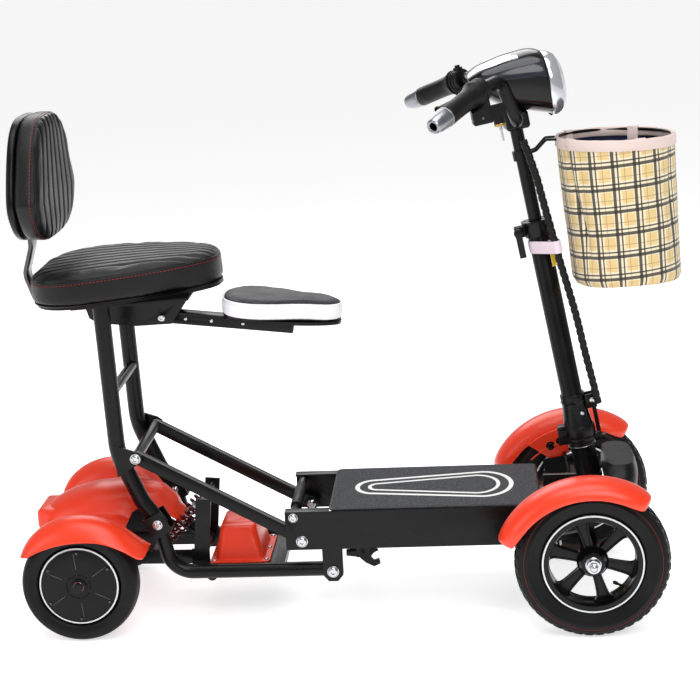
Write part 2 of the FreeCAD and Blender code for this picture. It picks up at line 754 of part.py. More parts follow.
def backrest_outline(inset, count=28):
    """Front view of the backrest: widest low down, narrower at the top, its corners round."""
    low, high = 657 + inset, 869 - inset
    points = []
    for i in range(count):
        angle = 2 * math.pi * i / count
        c, s = math.cos(angle), math.sin(angle)
        rise = (math.copysign(abs(s) ** 0.55, s) + 1) / 2
        widest = 0.35
        if rise < widest:
            half = 136 + (162 - 136) * rise / widest
        else:
            half = 162 - (162 - 104) * (rise - widest) / (1 - widest)
        points.append((0, (half - inset) * math.copysign(abs(c) ** 0.55, c), low + (high - low) * rise))
    return points


def upright_slab(points, rear, front, edge):
    """A slab standing across the scooter from an outline in the YZ plane."""
    curve = Part.BSplineCurve()
    curve.interpolate([Vector(rear, y, z) for _, y, z in points], PeriodicFlag=True)
    solid = Part.Face(Part.Wire([curve.toShape()])).extrude(Vector(front - rear, 0, 0))
    flat = [e for e in solid.Edges if abs(e.BoundBox.XLength) < 0.01]
    return solid.makeFillet(edge, flat)


def make_backrest():
    """Steel strap from under the seat, the moulded shell it holds and the cushion in front."""
    centre = float(S.backrest_x)
    strap_line = [(-440, 0, 547.5), (-531, 0, 545), (-548, 0, 596), (-534, 0, 642), (-534, 0, 700)]
    strap = route(strap_line, [18, 30, 30])
    section = Part.makePolygon([Vector(-440, -20, 544.5), Vector(-440, 20, 544.5), Vector(-440, 20, 550.5),
                                Vector(-440, -20, 550.5), Vector(-440, -20, 544.5)])
    node("backrest_strap", feature(strap.makePipeShell([section], True, True)))
    shell = upright_slab(backrest_outline(4), centre - 27, centre - 14, 5)
    slot = Part.makeBox(7.2, 42, 60, Vector(-537.6, -21, 645))
    node("backrest_shell", feature(shell.cut(slot)))
    pad = upright_slab(backrest_outline(0), centre - 13.7, centre + 24, 15)
    node("backrest_pad", feature(pad))


def make_child_seat():
    """Child seat in front of the main seat: folding arm, pan and cushion."""
    arm_start, arm_end = Vector(-330, 0, 515.4), Vector(-96, 0, 487.4)
    along = arm_end - arm_start
    arm = Part.makeBox(along.Length, 30, 20, Vector(0, -15, -10))
    arm.Placement = Placement(arm_start, Rotation(Vector(1, 0, 0), along))
    start = Vector(float(S.child_x), -30, float(S.child_z))
    bore = Part.makeCylinder(5 + float(S.running_gap), 60, start, Vector(0, 1, 0))
    node("child_seat_arm", feature(arm.cut(bore)))
    tilt = float(S.child_tilt)
    node("child_seat_base", feature(slab(seat_outline(-215, -15, 74, 38), 490.4, 496, 0, tilt)))
    node("child_seat_pad", feature(slab(seat_outline(-220, -11, 79, 43), 496.3, 530, 10, tilt)))


# ---------------------------------------------------------------- steering

def make_steering_column():
    shaft = Part.makeCylinder(float(S.column_radius), 124, Vector(0, 0, -54))
    flange = Part.makeCylinder(26, 8, Vector(0, 0, 67))
    keeper = Part.makeBox(10, 18, 12, Vector(24, -9, 63))
    pitman = Part.makeBox(float(S.steer_arm), 16, 8, Vector(-float(S.steer_arm), -8, -54))
    pitman = pitman.fuse(Part.makeCylinder(9, 8, Vector(-float(S.steer_arm), 0, -54)))
    pin = Part.makeCylinder(4, 22, Vector(-float(S.steer_arm), 0, -68))
    ears = []
    for side in (RIGHT, LEFT):
        ears.append(Part.makeBox(20, 5, 24, Vector(-37, side * 12 - 2.5, 68)))
        ears.append(Part.makeBox(20, 5, 8, Vector(-28, side * 12 - 2.5, 67)))
    hinge_pin = Part.makeCylinder(4, 36, Vector(-27, -18, 83), Vector(0, 1, 0))
    solid = shaft.fuse([flange, keeper, pitman, pin, hinge_pin, *ears])
    return node("steering_column", feature(solid.removeSplitter(), steering_frame()))


def make_tie_rods():
    rods = []
    for side, drop in ((RIGHT, 0), (LEFT, -4.3)):
        inner = steering_frame().multVec(Vector(-float(S.steer_arm), 0, -58.5 + drop))
        outer = knuckle_frame(side).multVec(Vector(-float(S.steer_arm), 0, 17.5))
        up = steering_frame().Rotation.multVec(Vector(0, 0, 1))
        eyes = Part.makeCylinder(9, 4, inner - up * 0.2, up).fuse(Part.makeCylinder(9, 8, outer - up * 4, up))
        link = Part.makeCylinder(4.5, (outer - inner).Length, inner + up * 1.8, outer - inner - up * 1.8)
        if side == RIGHT:
            link = Part.makeCylinder(3.6, (outer - inner).Length, inner + up * 2.2, outer - inner - up * 2.2)
        holes = [Part.makeCylinder(4 + float(S.running_gap), 40, p - up * 20, up) for p in (inner, outer)]
        clear = Part.makeCylinder(14, 30, inner + up * 3.8, up)
        below = Part.makeCylinder(14, 30, inner - up * 30.2, up)
        rods.append(eyes.fuse(link).cut(holes + [clear, below]).removeSplitter())
    return node("tie_rods", feature(Part.makeCompound(rods)))


def make_knuckle(side):
    """Steering knuckle: two ears on the kingpin, a stub axle and the arm for the tie rod."""
    out = side
    def block(x, y, z):
        y = sorted((out * y[0], out * y[1]))
        return Part.makeBox(x[1] - x[0], y[1] - y[0], z[1] - z[0], Vector(x[0], y[0], z[0]))
    parts = [
        block((-14, 14), (17, 23), (-15, 79)),
        block((-12, 12), (0, 20), (71, 79)),
        block((-12, 12), (0, 20), (22.5, 30.5)),
        Part.makeCylinder(13, 8, Vector(0, 0, 71)),
        Part.makeCylinder(13, 8, Vector(0, 0, 22.5)),
        block((-float(S.steer_arm), 0), (-7, 7), (22.5, 30.5)),
        Part.makeCylinder(8, 8, Vector(-float(S.steer_arm), 0, 22.5)),
        Part.makeCylinder(4, 18, Vector(-float(S.steer_arm), 0, 10)),
        Part.makeCylinder(float(S.axle_radius), 78, Vector(0, out * 20, 0), Vector(0, out, 0)),
        Part.makeCylinder(11, 7, Vector(0, out * 96.5, 0), Vector(0, out, 0)),
        block((-52, -10), (19, 23), (40, 72)),
    ]
    bore = Part.makeCylinder(6 + float(S.running_gap), 80, Vector(0, 0, 10))
    solid = parts[0].fuse(parts[1:]).cut(bore)
    return node(side_name("knuckle", side), feature(solid.removeSplitter(), knuckle_frame(side)))


def make_front_fender(side):
    guard = arch((388, 102), 140, 168, 40, side * 214, 55, 154)
    panel = Part.Face(Part.makePolygon([
        Vector(300, 0, 216), Vector(330, 0, 236), Vector(372, 0, 246), Vector(374, 0, 204),
        Vector(356, 0, 180), Vector(346, 0, 184), Vector(300, 0, 216)]))
    y = sorted((side * 163.3, side * 174.4))
    panel.translate(Vector(0, y[0], 0))
    panel = panel.extrude(Vector(0, y[1] - y[0], 0))
    recess = Part.makeBox(200, 7.9, 100, Vector(250, side * 170.6 - 3.95, 150))
    top = Part.makeCylinder(136, 60, Vector(388, side * 174 - 30, 102), Vector(0, 1, 0))
    inner = panel.cut(recess.common(top))
    return node(side_name("front_fender", side), feature(guard.fuse(inner)))


def make_front_rim(side):
    """Cast front wheel: rim, hub and six spokes left between the windows."""
    rim, bore = S.front_rim_radius, S.axle_radius + S.running_gap
    points = [(bore, -26), (20, -26), (24, -8), (rim - 12, -6), (rim - 8, -24), (rim, -24),
              (rim, 24), (rim - 4, 24), (rim - 12, 10), (rim - 13, 6), (24, 8), (20, 26), (bore, 26)]
    wheel = turned(points, 0, 0, 0)
    windows = []
    for i in range(6):
        angle = math.radians(15 + 60 * i)
        corners = []
        for radius, spread in ((29, 16), (70, 21.5), (70.5, 0), (70, -21.5), (29, -16)):
            a = angle + math.radians(spread)
            corners.append(Vector(radius * math.cos(a), -40, radius * math.sin(a)))
        face = Part.Face(Part.makePolygon(corners + [corners[0]]))
        windows.append(face.extrude(Vector(0, 80, 0)))
    whole = cut(wheel, feature(Part.makeCompound(windows)))
    node(side_name("front_rim", side), whole)
    return put(whole, S.front_axle_x, side * S.front_track, S.front_radius)


def make_front_tyre(side):
    r, half, rim = S.front_radius, S.front_tyre_width / 2, S.front_rim_radius
    points = [(rim, -20), (rim + 10, 3 - half), (rim + 20, -half), (r - 11, 3 - half), (r - 3, 9 - half),
              (r, 16 - half), (r, half - 16), (r - 3, half - 9), (r - 11, half - 3),
              (rim + 20, half), (rim + 10, half - 3), (rim, 20)]
    tyre = turned(points, S.front_axle_x, side * S.front_track, S.front_radius)
    return node(side_name("front_tyre", side), tyre)


# ---------------------------------------------------------------- tiller

def make_tiller():
    """The folding lower steering tube on its hinge casting."""
    tube = Part.makeCylinder(float(S.tiller_radius), 330, Vector(0, 0, 112))
    casting = Part.makeCone(25, 19.5, 46, Vector(0, 0, 93.2)).fuse([
        Part.makeCylinder(27, 17.5, Vector(0, 0, 75.8)),
        Part.makeBox(15, 18.6, 20.5, Vector(-35, -9.3, 77.5)),
        Part.makeCylinder(21, 14, Vector(0, 0, 136)),
    ])
    hollow = Part.makeCylinder(15, 400, Vector(0, 0, 150))
    pin_bore = Part.makeCylinder(4 + float(S.running_gap), 40, Vector(-27, -20, 83), Vector(0, 1, 0))
    ears = []
    for side in (RIGHT, LEFT):
        ears.append(Part.makeBox(30, 6.4, 40, Vector(-44, side * 12.4 - 3.2, 60)))
        ears.append(Part.makeCylinder(26, 6.4, Vector(-27, side * 12.4 - 3.2, 83), Vector(0, 1, 0)))
    keeper_room = Part.makeBox(20, 30, 6, Vector(20, -15, 70))
    latch_ears = [Part.makeBox(18, 4, 24, Vector(20, side * 10 - 2, 122)) for side in (RIGHT, LEFT)]
    latch_pin = Part.makeCylinder(3, 28, Vector(31, -14, 136), Vector(0, 1, 0))
    solid = tube.fuse([casting, *latch_ears, latch_pin]).cut([hollow, pin_bore, keeper_room, *ears])
    return node("tiller_tube", feature(solid.removeSplitter(), steering_frame()))


def make_tiller_latch():
    """Lever that locks the hinge, on two ears at the front of the casting."""
    lever = Part.makeBox(7, 15, 78, Vector(29, -7.5, 64)).fuse([
        Part.makeCylinder(7.5, 15, Vector(31, -7.5, 136), Vector(0, 1, 0)),
        Part.makeBox(9, 15, 8, Vector(34.2, -7.5, 62)),
    ])
    bore = Part.makeCylinder(3 + float(S.running_gap), 30, Vector(31, -15, 136), Vector(0, 1, 0))
    relief = Part.makeBox(7, 19, 20, Vector(28, -9.5, 58))
    return node("tiller_latch", feature(lever.cut([bore, relief]), steering_frame()))


def make_stem_clamp():
    """Split collar with its plastic bush at the top of the lower tube."""
    collar = Part.makeCylinder(22, 27, Vector(0, 0, 430))
    flange = Part.makeCylinder(24.5, 4, Vector(0, 0, 453))
    ears = [Part.makeBox(18, 5, 18, Vector(-38, side * 6 - 2.5, 433)) for side in (RIGHT, LEFT)]
    bush = Part.makeCylinder(15, 40, Vector(0, 0, 417))
    solid = collar.fuse([flange, *ears]).cut([
        Part.makeCylinder(float(S.tiller_radius), 12, Vector(0, 0, 430)),
        Part.makeBox(26, 4, 40, Vector(-42, -2, 425)),
    ])
    solid = solid.fuse(bush).cut([
        Part.makeCylinder(float(S.stem_radius + S.running_gap), 60, Vector(0, 0, 410)),
        Part.makeCylinder(3, 40, Vector(-32, -20, 442), Vector(0, 1, 0)),
    ])
    return node("stem_clamp", feature(solid.removeSplitter(), steering_frame()))


def make_clamp_lever():
    pin = Part.makeCylinder(3 - float(S.running_gap), 36, Vector(-32, -26, 442), Vector(0, 1, 0))
    nut = Part.makeCylinder(6, 5, Vector(-32, 9, 442), Vector(0, 1, 0))
    hub = Part.makeCylinder(7.5, 9, Vector(-32, -18, 442), Vector(0, 1, 0))
    blade = Part.makeBox(11, 6, 42, Vector(-37.5, -17, 400))
    return node("clamp_lever", feature(pin.fuse([nut, hub, blade]).removeSplitter(), steering_frame()))


def make_stem():
    """Telescopic stem with its handlebar clamp."""
    tube = Part.makeCylinder(float(S.stem_radius), 320, Vector(0, 0, 300)).cut(
        Part.makeCylinder(8.5, 340, Vector(0, 0, 290)))
    head = Part.makeBox(40, 54, 30, Vector(-18, -27, 612))
    head = head.makeFillet(6, head.Edges)
    bore = Part.makeCylinder(BAR_RADIUS, 80, Vector(0, -40, 628), Vector(0, 1, 0))
    for piece in (head, bore):
        piece.rotate(Vector(), Vector(0, 0, 1), float(S.bar_turn))
    return node("stem_tube", feature(tube.fuse(head).cut(bore).removeSplitter(), steering_frame()))


BAR_HALF = [(0, 0, 628), (0, 46, 628), (-18, 72, 702), (-57, 130, 700), (-125, 212.7, 679.5)]
BAR_RADIUS = 11
COLLAR_START = 89.5


def make_handlebar():
    """One bent tube: across the stem, up in an arch on each side, then back to the grips."""
    left = [Vector(*p) for p in BAR_HALF]
    whole = [(p.x, -p.y, p.z) for p in reversed(left[1:])] + [tuple(p) for p in left[1:]]
    tube = pipe(whole, [40, 26, 24, 24, 26, 40], BAR_RADIUS)
    return node("handlebar", feature(tube, bar_frame()))


def grip_line(side):
    """The end of the handlebar and the direction from it inward along the grip."""
    inner, end = Vector(*BAR_HALF[3]), Vector(*BAR_HALF[4])
    inner.y, end.y = side * inner.y, side * end.y
    return end, (inner - end).normalize()


def along_grip(side, start, length, radius, bore=0):
    """A sleeve on the straight end of the handlebar; start is measured from the bar's end inward."""
    end, inward = grip_line(side)
    sleeve = Part.makeCylinder(radius, length, end + inward * start, inward)
    return sleeve.cut(Part.makeCylinder(bore, length, end + inward * start, inward)) if bore else sleeve


def bell(side, bore):
    """The flared inner end of a grip."""
    end, inward = grip_line(side)
    flare = Part.makeCone(16.5, 21.5, 12, end + inward * 76, inward)
    return flare.cut(Part.makeCylinder(bore, 12, end + inward * 76, inward))


def make_grips():
    running = BAR_RADIUS + float(S.running_gap)
    left = along_grip(LEFT, 0.5, 76, 16.5, BAR_RADIUS).fuse(bell(LEFT, BAR_RADIUS))
    node("grip_left", feature(left, bar_frame()))
    right = along_grip(RIGHT, 0.5, 76, 16.5, running).fuse(bell(RIGHT, running))
    node("throttle_grip", feature(right, bar_frame()))
    caps = []
    for side in (RIGHT, LEFT):
        end, inward = grip_line(side)
        cap = Part.makeCone(16.5, 10.5, 40, end - inward * 0.2, -inward)
        caps.append(cap.cut(Part.makeCylinder(6, 30, end - inward * 28, -inward)))
    node("bar_end_caps", feature(Part.makeCompound(caps), bar_frame()))


KEY_AT = (-36, -112)
BUTTON_AT = (-62, 137)
LEVER_AT = (-44, 128)


def bar_room(side):
    """The space taken by the handlebar and by the grip beside a control."""
    points = [(x, side * y, z) for x, y, z in BAR_HALF[1:]]
    return [pipe(points, [26, 40], BAR_RADIUS), along_grip(side, 20, 68.8, 24)]


def make_throttle_housing():
    """Collar and switch box beside the throttle, with the key's barrel, and the key itself."""
    x, y = KEY_AT
    box_part = Part.makeBox(32, 32, 50, Vector(-80, -154, 648))
    barrel = Part.makeBox(30, 20, 20, Vector(-52, y - 10, 650)).fuse(
        Part.makeCylinder(9, 24, Vector(x, y, 640)))
    body = along_grip(RIGHT, COLLAR_START, 21, 19.5, BAR_RADIUS).fuse([
        box_part.makeFillet(3, box_part.Edges), barrel, Part.makeBox(24, 26, 20, Vector(-60, -128, 650))])
    bore = Part.makeCylinder(3 + float(S.running_gap), 22, Vector(x, y, 638))
    node("throttle_housing", feature(body.cut([bore, *bar_room(RIGHT)]).removeSplitter(), bar_frame()))
    key = Part.makeCylinder(3, 30, Vector(x, y, 629)).fuse([
        Part.makeBox(3, 16, 20, Vector(x - 1.5, y - 8, 612)),
    ])
    node("key", feature(key, bar_frame()))


def make_brake_housing():
    """Collar and perch of the parking brake lever, with the horn button on top."""
    x, y = LEVER_AT
    perch = Part.makeBox(30, 26, 18, Vector(-58, 113, 670))
    block = Part.makeBox(26, 24, 20, Vector(-75, 125, 676))
    body = along_grip(LEFT, COLLAR_START, 21, 18.5, BAR_RADIUS).fuse([perch, block])
    mouth = Part.makeBox(46, 66, 10, Vector(x - 12, y - 12, 674))
    pin = Part.makeCylinder(2.5, 18, Vector(x, y, 670))
    bore = Part.makeCylinder(4.8, 24, Vector(*BUTTON_AT, 706))
    button_seat = Part.makeCylinder(8, 8, Vector(*BUTTON_AT, 713))
    body = body.fuse(button_seat).cut(bore).cut([mouth, *bar_room(LEFT)]).fuse(pin)
    node("brake_housing", feature(body.removeSplitter(), bar_frame()))
    button = Part.makeCylinder(4.5, 9, Vector(*BUTTON_AT, 716))
    return node("horn_button", feature(button, bar_frame()))


def make_brake_lever():
    """Lever in front of the left grip, on an upright pin."""
    x, y = LEVER_AT
    path = pipe([(x, y, 679), (x + 8, y + 22, 677), (-92, 208, 655), (-102, 222, 651)], [8, 8], 4)
    ball = Part.makeSphere(6, Vector(-104, 225, 650))
    hub = Part.makeCylinder(6, 8, Vector(x, y, 675))
    bore = Part.makeCylinder(2.5 + float(S.running_gap), 30, Vector(x, y, 660))
    return node("brake_lever", feature(path.fuse([ball, hub]).cut(bore), bar_frame()))


def make_head_unit():
    """Display and headlight housing on top of the handlebar clamp."""
    sections = []
    for x, half, low, high, power in (
        (-62, 44, 702, 716, 2.4), (-40, 60, 670, 726, 2.6), (0, 66, 648, 734, 2.8),
        (40, 68, 632, 736, 2.8), (66, 64, 622, 726, 2.6),
    ):
        mid, rise = (low + high) / 2, (high - low) / 2
        ring = superellipse(0, 0, half, rise, 0, power)
        sections.append([(x, y, mid + z) for y, z, _ in ring])
    arch_room = pipe([(0, -52, 628), (0, 52, 628)], [], 13)
    clamp_room = Part.makeBox(60, 60, 36, Vector(-30, -30, 608))
    housing = loft(sections).cut([arch_room, clamp_room, *bar_clearance()])
    node("head_unit", feature(housing, bar_frame()))
    front = []
    for x, scale in ((66.3, 1.0), (80, 0.88), (91, 0.55)):
        ring = superellipse(0, 0, 62 * scale, 50 * scale, 0, 2.5)
        front.append([(x, y, 674 + z) for y, z, _ in ring])
    return node("head_lens", feature(loft(front), bar_frame()))


def bar_clearance():
    """Room in the head unit for the two arches of the handlebar."""
    rooms = []
    for side in (RIGHT, LEFT):
        points = [(x, side * y, z) for x, y, z in BAR_HALF[1:4]]
        rooms.append(pipe(points, [26], 13))
    return rooms


def make_basket():
    """Cloth basket as its outer shape with an open inside."""
    x, r = float(S.basket_x), float(S.basket_radius)
    top, low = float(S.basket_top), float(S.basket_top - S.basket_height)
    outer = loft([superellipse(x + 16, 0, r - 7, r - 7, low, 2.2), superellipse(x, 0, r, r, top, 2.2)])
    inner = loft([superellipse(x + 16, 0, r - 12, r - 12, low + 5, 2.2),
                  superellipse(x, 0, r - 5, r - 5, top + 1, 2.2)])
    return node("basket", feature(outer.cut(inner)))


def make_basket_hanger():
    """Wire hoop round the basket's rim on two arms from a clamp on the stem."""
    local = steering_frame()
    clamp = Part.makeCylinder(15, 16, Vector(0, 0, 560)).cut(
        Part.makeCylinder(float(S.stem_radius) + 0.02, 16, Vector(0, 0, 560)))
    clamp.Placement = local
    x, r, z = float(S.basket_x), float(S.basket_radius) - 3, float(S.basket_top) + 3.2
    wires = []
    for side in (RIGHT, LEFT):
        start = local.multVec(Vector(6, side * 12, 568))
        line = [tuple(start), (322, side * 15, z - 17), (338, side * 17, z), (x - r + 2, side * 20, z)]
        wires.append(pipe(line, [6, 6], 2.1))
    ring = Part.Face(Part.Wire([Part.Circle(Vector(x + r, 0, z), Vector(0, 1, 0), 2.5).toShape()]))
    hoop = ring.revolve(Vector(x, 0, z), Vector(0, 0, 1), 360)
    hanger = hoop.fuse(wires[0]).fuse(wires[1]).fuse(clamp)
    return node("basket_hanger", feature(hanger))


HARNESS = [(300, -34, 792), (318, -40, 742), (330, -44, 690), (343, -45, 640), (355, -45, 590),
           (369, -45, 540), (382, -44, 490), (392, -42, 440), (404, -40, 390), (414, -36, 345)]


def make_harness():
    """Wrapped cable bundle from the handlebar down the front of the tiller."""
    runs = [Vector(*p) for p in HARNESS]
    bends = []
    for before, corner, after in zip(runs, runs[1:], runs[2:]):
        shorter = min((before - corner).Length, (after - corner).Length)
        half = (before - corner).getAngle(after - corner) / 2
        bends.append(0.45 * shorter * math.tan(half))
    return node("cable_harness", feature(pipe(HARNESS, bends, 6.5)))


def build():
    make_deck_box()
    make_battery()
    make_footplate()
    make_carry_handle()
    make_pivot_bolts()
    make_front_beam()
    make_front_cover()
    make_frame_latch()
    make_lower_frame()
    make_controller_cover()
    make_rear_body()
    make_tail_lens()
    make_seat_hinge_bolts()
    make_swing_arm()
    make_shock_springs()
    make_link_bars()
    make_seat_frame()
    make_link_lug_bolts()
    make_seat_bracket()
    make_seat()
    make_backrest()
    make_child_seat()
    make_steering_column()
    make_tie_rods()
    for side in (RIGHT, LEFT):
        make_hub_motor(side)
        make_rear_tyre(side)
        make_knuckle(side)
        make_front_fender(side)
        make_front_rim(side)
        make_front_tyre(side)
    make_tiller()
    make_tiller_latch()
    make_stem_clamp()
    make_clamp_lever()
    make_stem()
    make_handlebar()
    make_grips()
    make_throttle_housing()
    make_brake_housing()
    make_brake_lever()
    make_head_unit()
    make_basket()
    make_basket_hanger()
    make_harness()


def write():
    """Check every object, then write each sub-part to its own file."""
    DOC.recompute()
    for obj in DOC.Objects:
        if "Invalid" in obj.State or "Error" in obj.State:
            raise RuntimeError(f"{obj.Name} ({obj.Label}) failed: {obj.State}")
    for obj in NODES:
        if obj.Shape.isNull() or not obj.Shape.isValid():
            raise RuntimeError(f"{obj.Label} has no valid shape")
    os.makedirs("parts", exist_ok=True)
    for obj in NODES:
        obj.Shape.exportStep(f"parts/{obj.Label}.step")
        print(obj.Label, len(obj.Shape.Solids), "solids", round(obj.Shape.Volume / 1000, 1), "cm3")


build()
write()
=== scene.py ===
# Folding mobility scooter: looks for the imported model.
# Lengths in the geometry helpers are millimetres in the model's frame: +X forward, +Y the rider's left, +Z up.
import bpy
import bmesh
import json
import math
from itertools import product
from mathutils import Matrix, Vector, noise
from mathutils.bvhtree import BVHTree
from mathutils.geometry import convex_hull_2d


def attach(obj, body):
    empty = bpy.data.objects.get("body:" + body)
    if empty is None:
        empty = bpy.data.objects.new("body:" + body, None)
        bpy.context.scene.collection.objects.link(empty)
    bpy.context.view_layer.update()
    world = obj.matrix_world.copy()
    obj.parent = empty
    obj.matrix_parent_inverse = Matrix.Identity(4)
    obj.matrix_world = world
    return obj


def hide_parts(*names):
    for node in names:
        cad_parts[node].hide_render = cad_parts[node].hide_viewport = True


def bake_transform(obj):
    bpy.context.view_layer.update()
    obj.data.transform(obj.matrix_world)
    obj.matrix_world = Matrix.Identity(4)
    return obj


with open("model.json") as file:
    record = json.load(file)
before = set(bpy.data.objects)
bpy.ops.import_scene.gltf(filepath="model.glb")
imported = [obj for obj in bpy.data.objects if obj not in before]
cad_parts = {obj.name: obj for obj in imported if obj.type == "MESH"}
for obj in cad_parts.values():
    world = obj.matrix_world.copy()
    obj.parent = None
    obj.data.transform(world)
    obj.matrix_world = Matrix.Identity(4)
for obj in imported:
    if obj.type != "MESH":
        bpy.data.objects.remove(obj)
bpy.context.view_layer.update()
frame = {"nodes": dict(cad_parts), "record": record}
RIGHT, LEFT = -1, 1
WORLD = Matrix.Identity(4)
RAKE = Matrix.Rotation(math.radians(-10.2), 4, "Y")
STEER = Matrix.Translation((0.3985, 0, 0.205)) @ RAKE
BAR = STEER @ Matrix.Rotation(math.radians(6), 4, "Z")
# Wheel centres and the kingpins' foot on the left side, in metres.
FRONT_WHEEL, REAR_WHEEL, KINGPIN = (0.389, 0.205, 0.127), (-0.46, 0.171, 0.0985), (0.389, 0.14, 0.127)


def on_side(place, side):
    """The place given for the left side, on either side."""
    return Matrix.Translation((place[0], side * place[1], place[2]))


def side_name(stem, side):
    return stem + ("_left" if side == LEFT else "_right")


def srgb(r, g, b):
    """Linear colour from 0-255 display values."""
    def channel(value):
        value /= 255
        return value / 12.92 if value <= 0.04045 else ((value + 0.055) / 1.055) ** 2.4
    return (channel(r), channel(g), channel(b), 1)


# The basket's rim: its middle, height and radius, and how deep the bag hangs, in millimetres.
BAG_X, BAG_TOP, BAG_RADIUS, BAG_DEPTH = 452, 786, 98, 234


# ---------------------------------------------------------------- materials

class Shader:
    """A Principled material and the few nodes that its detail needs. Scales are per metre of the part."""

    def __init__(self, name, color, rough, metal=0.0, **sockets):
        self.material = bpy.data.materials.new(name)
        self.material.use_nodes = True
        self.tree = self.material.node_tree
        self.main = self.tree.nodes["Principled BSDF"]
        self.main.inputs["Base Color"].default_value = color
        self.main.inputs["Roughness"].default_value = rough
        self.main.inputs["Metallic"].default_value = metal
        for socket, value in sockets.items():
            self.main.inputs[socket.replace("_", " ")].default_value = value
        self.name, self.color, self.rough = name, color, rough
        self.place = self.node("ShaderNodeTexCoord").outputs["Object"]
        self.height = None

    def node(self, kind, **settings):
        made = self.tree.nodes.new(kind)
        for key, value in settings.items():
            setattr(made, key, value)
        return made

    def feed(self, socket, value):
        if hasattr(value, "is_output"):
            self.tree.links.new(value, socket)
        else:
            socket.default_value = value

    def math(self, operation, a, b=0.0, clamp=False):
        made = self.node("ShaderNodeMath", operation=operation, use_clamp=clamp)
        self.feed(made.inputs[0], a)
        self.feed(made.inputs[1], b)
        return made.outputs[0]

    def stretched(self, x, y, z):
        """The place in the part, scaled unevenly to draw a pattern out."""
        made = self.node("ShaderNodeMapping")
        self.feed(made.inputs["Vector"], self.place)
        made.inputs["Scale"].default_value = (x, y, z)
        return made.outputs[0]

    def noise(self, scale, detail=3.0, at=None):
        made = self.node("ShaderNodeTexNoise")
        self.feed(made.inputs["Vector"], at or self.place)
        made.inputs["Scale"].default_value = scale
        made.inputs["Detail"].default_value = detail
        return made.outputs["Fac"]

    def cells(self, scale, feature="F1"):
        made = self.node("ShaderNodeTexVoronoi", feature=feature)
        self.feed(made.inputs["Vector"], self.place)
        made.inputs["Scale"].default_value = scale
        return made.outputs["Distance"]

    def ramp(self, value, low, high, start=0.0, end=1.0):
        made = self.node("ShaderNodeMapRange")
        self.feed(made.inputs["Value"], value)
        for socket, number in (("From Min", low), ("From Max", high), ("To Min", start), ("To Max", end)):
            made.inputs[socket].default_value = number
        return made.outputs[0]

    def blend(self, amount, a, b):
        made = self.node("ShaderNodeMix", data_type="RGBA")
        self.feed(made.inputs[0], amount)
        self.feed(made.inputs[6], a)
        self.feed(made.inputs[7], b)
        return made.outputs[2]

    def parts(self):
        made = self.node("ShaderNodeSeparateXYZ")
        self.feed(made.inputs[0], self.place)
        return made.outputs

    def vary_rough(self, value, spread):
        patchy = self.ramp(value, 0.3, 0.7, self.rough - spread, self.rough + spread)
        self.feed(self.main.inputs["Roughness"], patchy)
        return self

    def bump(self, height, depth, strength=1.0):
        """Height is 0-1 and depth is what 1 stands for, in metres."""
        made = self.node("ShaderNodeBump")
        made.inputs["Strength"].default_value = strength
        made.inputs["Distance"].default_value = depth
        self.feed(made.inputs["Height"], height)
        if self.height:
            self.feed(made.inputs["Normal"], self.height)
        self.height = made.outputs[0]
        self.feed(self.main.inputs["Normal"], self.height)
        return self

    def edges(self, radius, worn=None, amount=0.6):
        """Soft edges of the given radius, and a worn colour along them."""
        bevel = self.node("ShaderNodeBevel", samples=4)
        bevel.inputs["Radius"].default_value = radius
        self.height = bevel.outputs[0]
        self.feed(self.main.inputs["Normal"], self.height)
        if worn is not None:
            wide = self.node("ShaderNodeBevel", samples=4)
            wide.inputs["Radius"].default_value = radius * 1.6
            flat = self.node("ShaderNodeNewGeometry").outputs["Normal"]
            same = self.node("ShaderNodeVectorMath", operation="DOT_PRODUCT")
            self.feed(same.inputs[0], wide.outputs[0])
            self.feed(same.inputs[1], flat)
            edge = self.ramp(same.outputs["Value"], 0.97, 0.8)
            patchy = self.math("MULTIPLY", edge, self.ramp(self.noise(60), 0.42, 0.62, 0, amount), True)
            self.feed(self.main.inputs["Base Color"], self.blend(patchy, self.color, worn))
        return self


def powder_coat(name, color, rough, worn):
    made = Shader(name, color, rough, Specular_IOR_Level=0.22)
    made.edges(0.0009, worn, 0.5)
    made.vary_rough(made.noise(35), 0.05)
    return made.bump(made.noise(900, 2), 0.00006, 0.5)


def plain_metal(name, color, rough, grain=(40, 900, 40)):
    made = Shader(name, color, rough, 1.0)
    made.edges(0.0005)
    brushed = made.noise(1.0, 4, made.stretched(*grain))
    made.vary_rough(brushed, 0.06)
    return made.bump(brushed, 0.00002, 0.4)


def rubber(name, color, rough):
    made = Shader(name, color, rough, Specular_IOR_Level=0.17)
    dust = made.ramp(made.noise(18, 5), 0.45, 0.75, 0, 0.1)
    made.feed(made.main.inputs["Base Color"], made.blend(dust, color, srgb(64, 62, 60)))
    made.vary_rough(made.noise(60), 0.07)
    return made.bump(made.noise(700, 3), 0.0001, 0.5)


def moulded(name, color, rough, **sockets):
    made = Shader(name, color, rough, **sockets)
    made.edges(0.0007)
    made.vary_rough(made.noise(28), 0.05)
    return made.bump(made.cells(1100), 0.00008, 0.5)


def vinyl(name, color, rough):
    """Grained vinyl: small raised cells of uneven size with fine pores."""
    made = Shader(name, color, rough, Specular_IOR_Level=0.27)
    raised = made.ramp(made.cells(520, "DISTANCE_TO_EDGE"), 0.0, 0.25)
    made.vary_rough(made.noise(22, 4), 0.07)
    shade = made.ramp(made.noise(9, 4), 0.3, 0.7, 0.0, 0.5)
    lighter = tuple(min(1, c * 1.7 + 0.004) for c in color[:3]) + (1,)
    made.feed(made.main.inputs["Base Color"], made.blend(shade, color, lighter))
    made.bump(raised, 0.00022, 0.55)
    return made.bump(made.noise(1500, 2), 0.00004, 0.5)


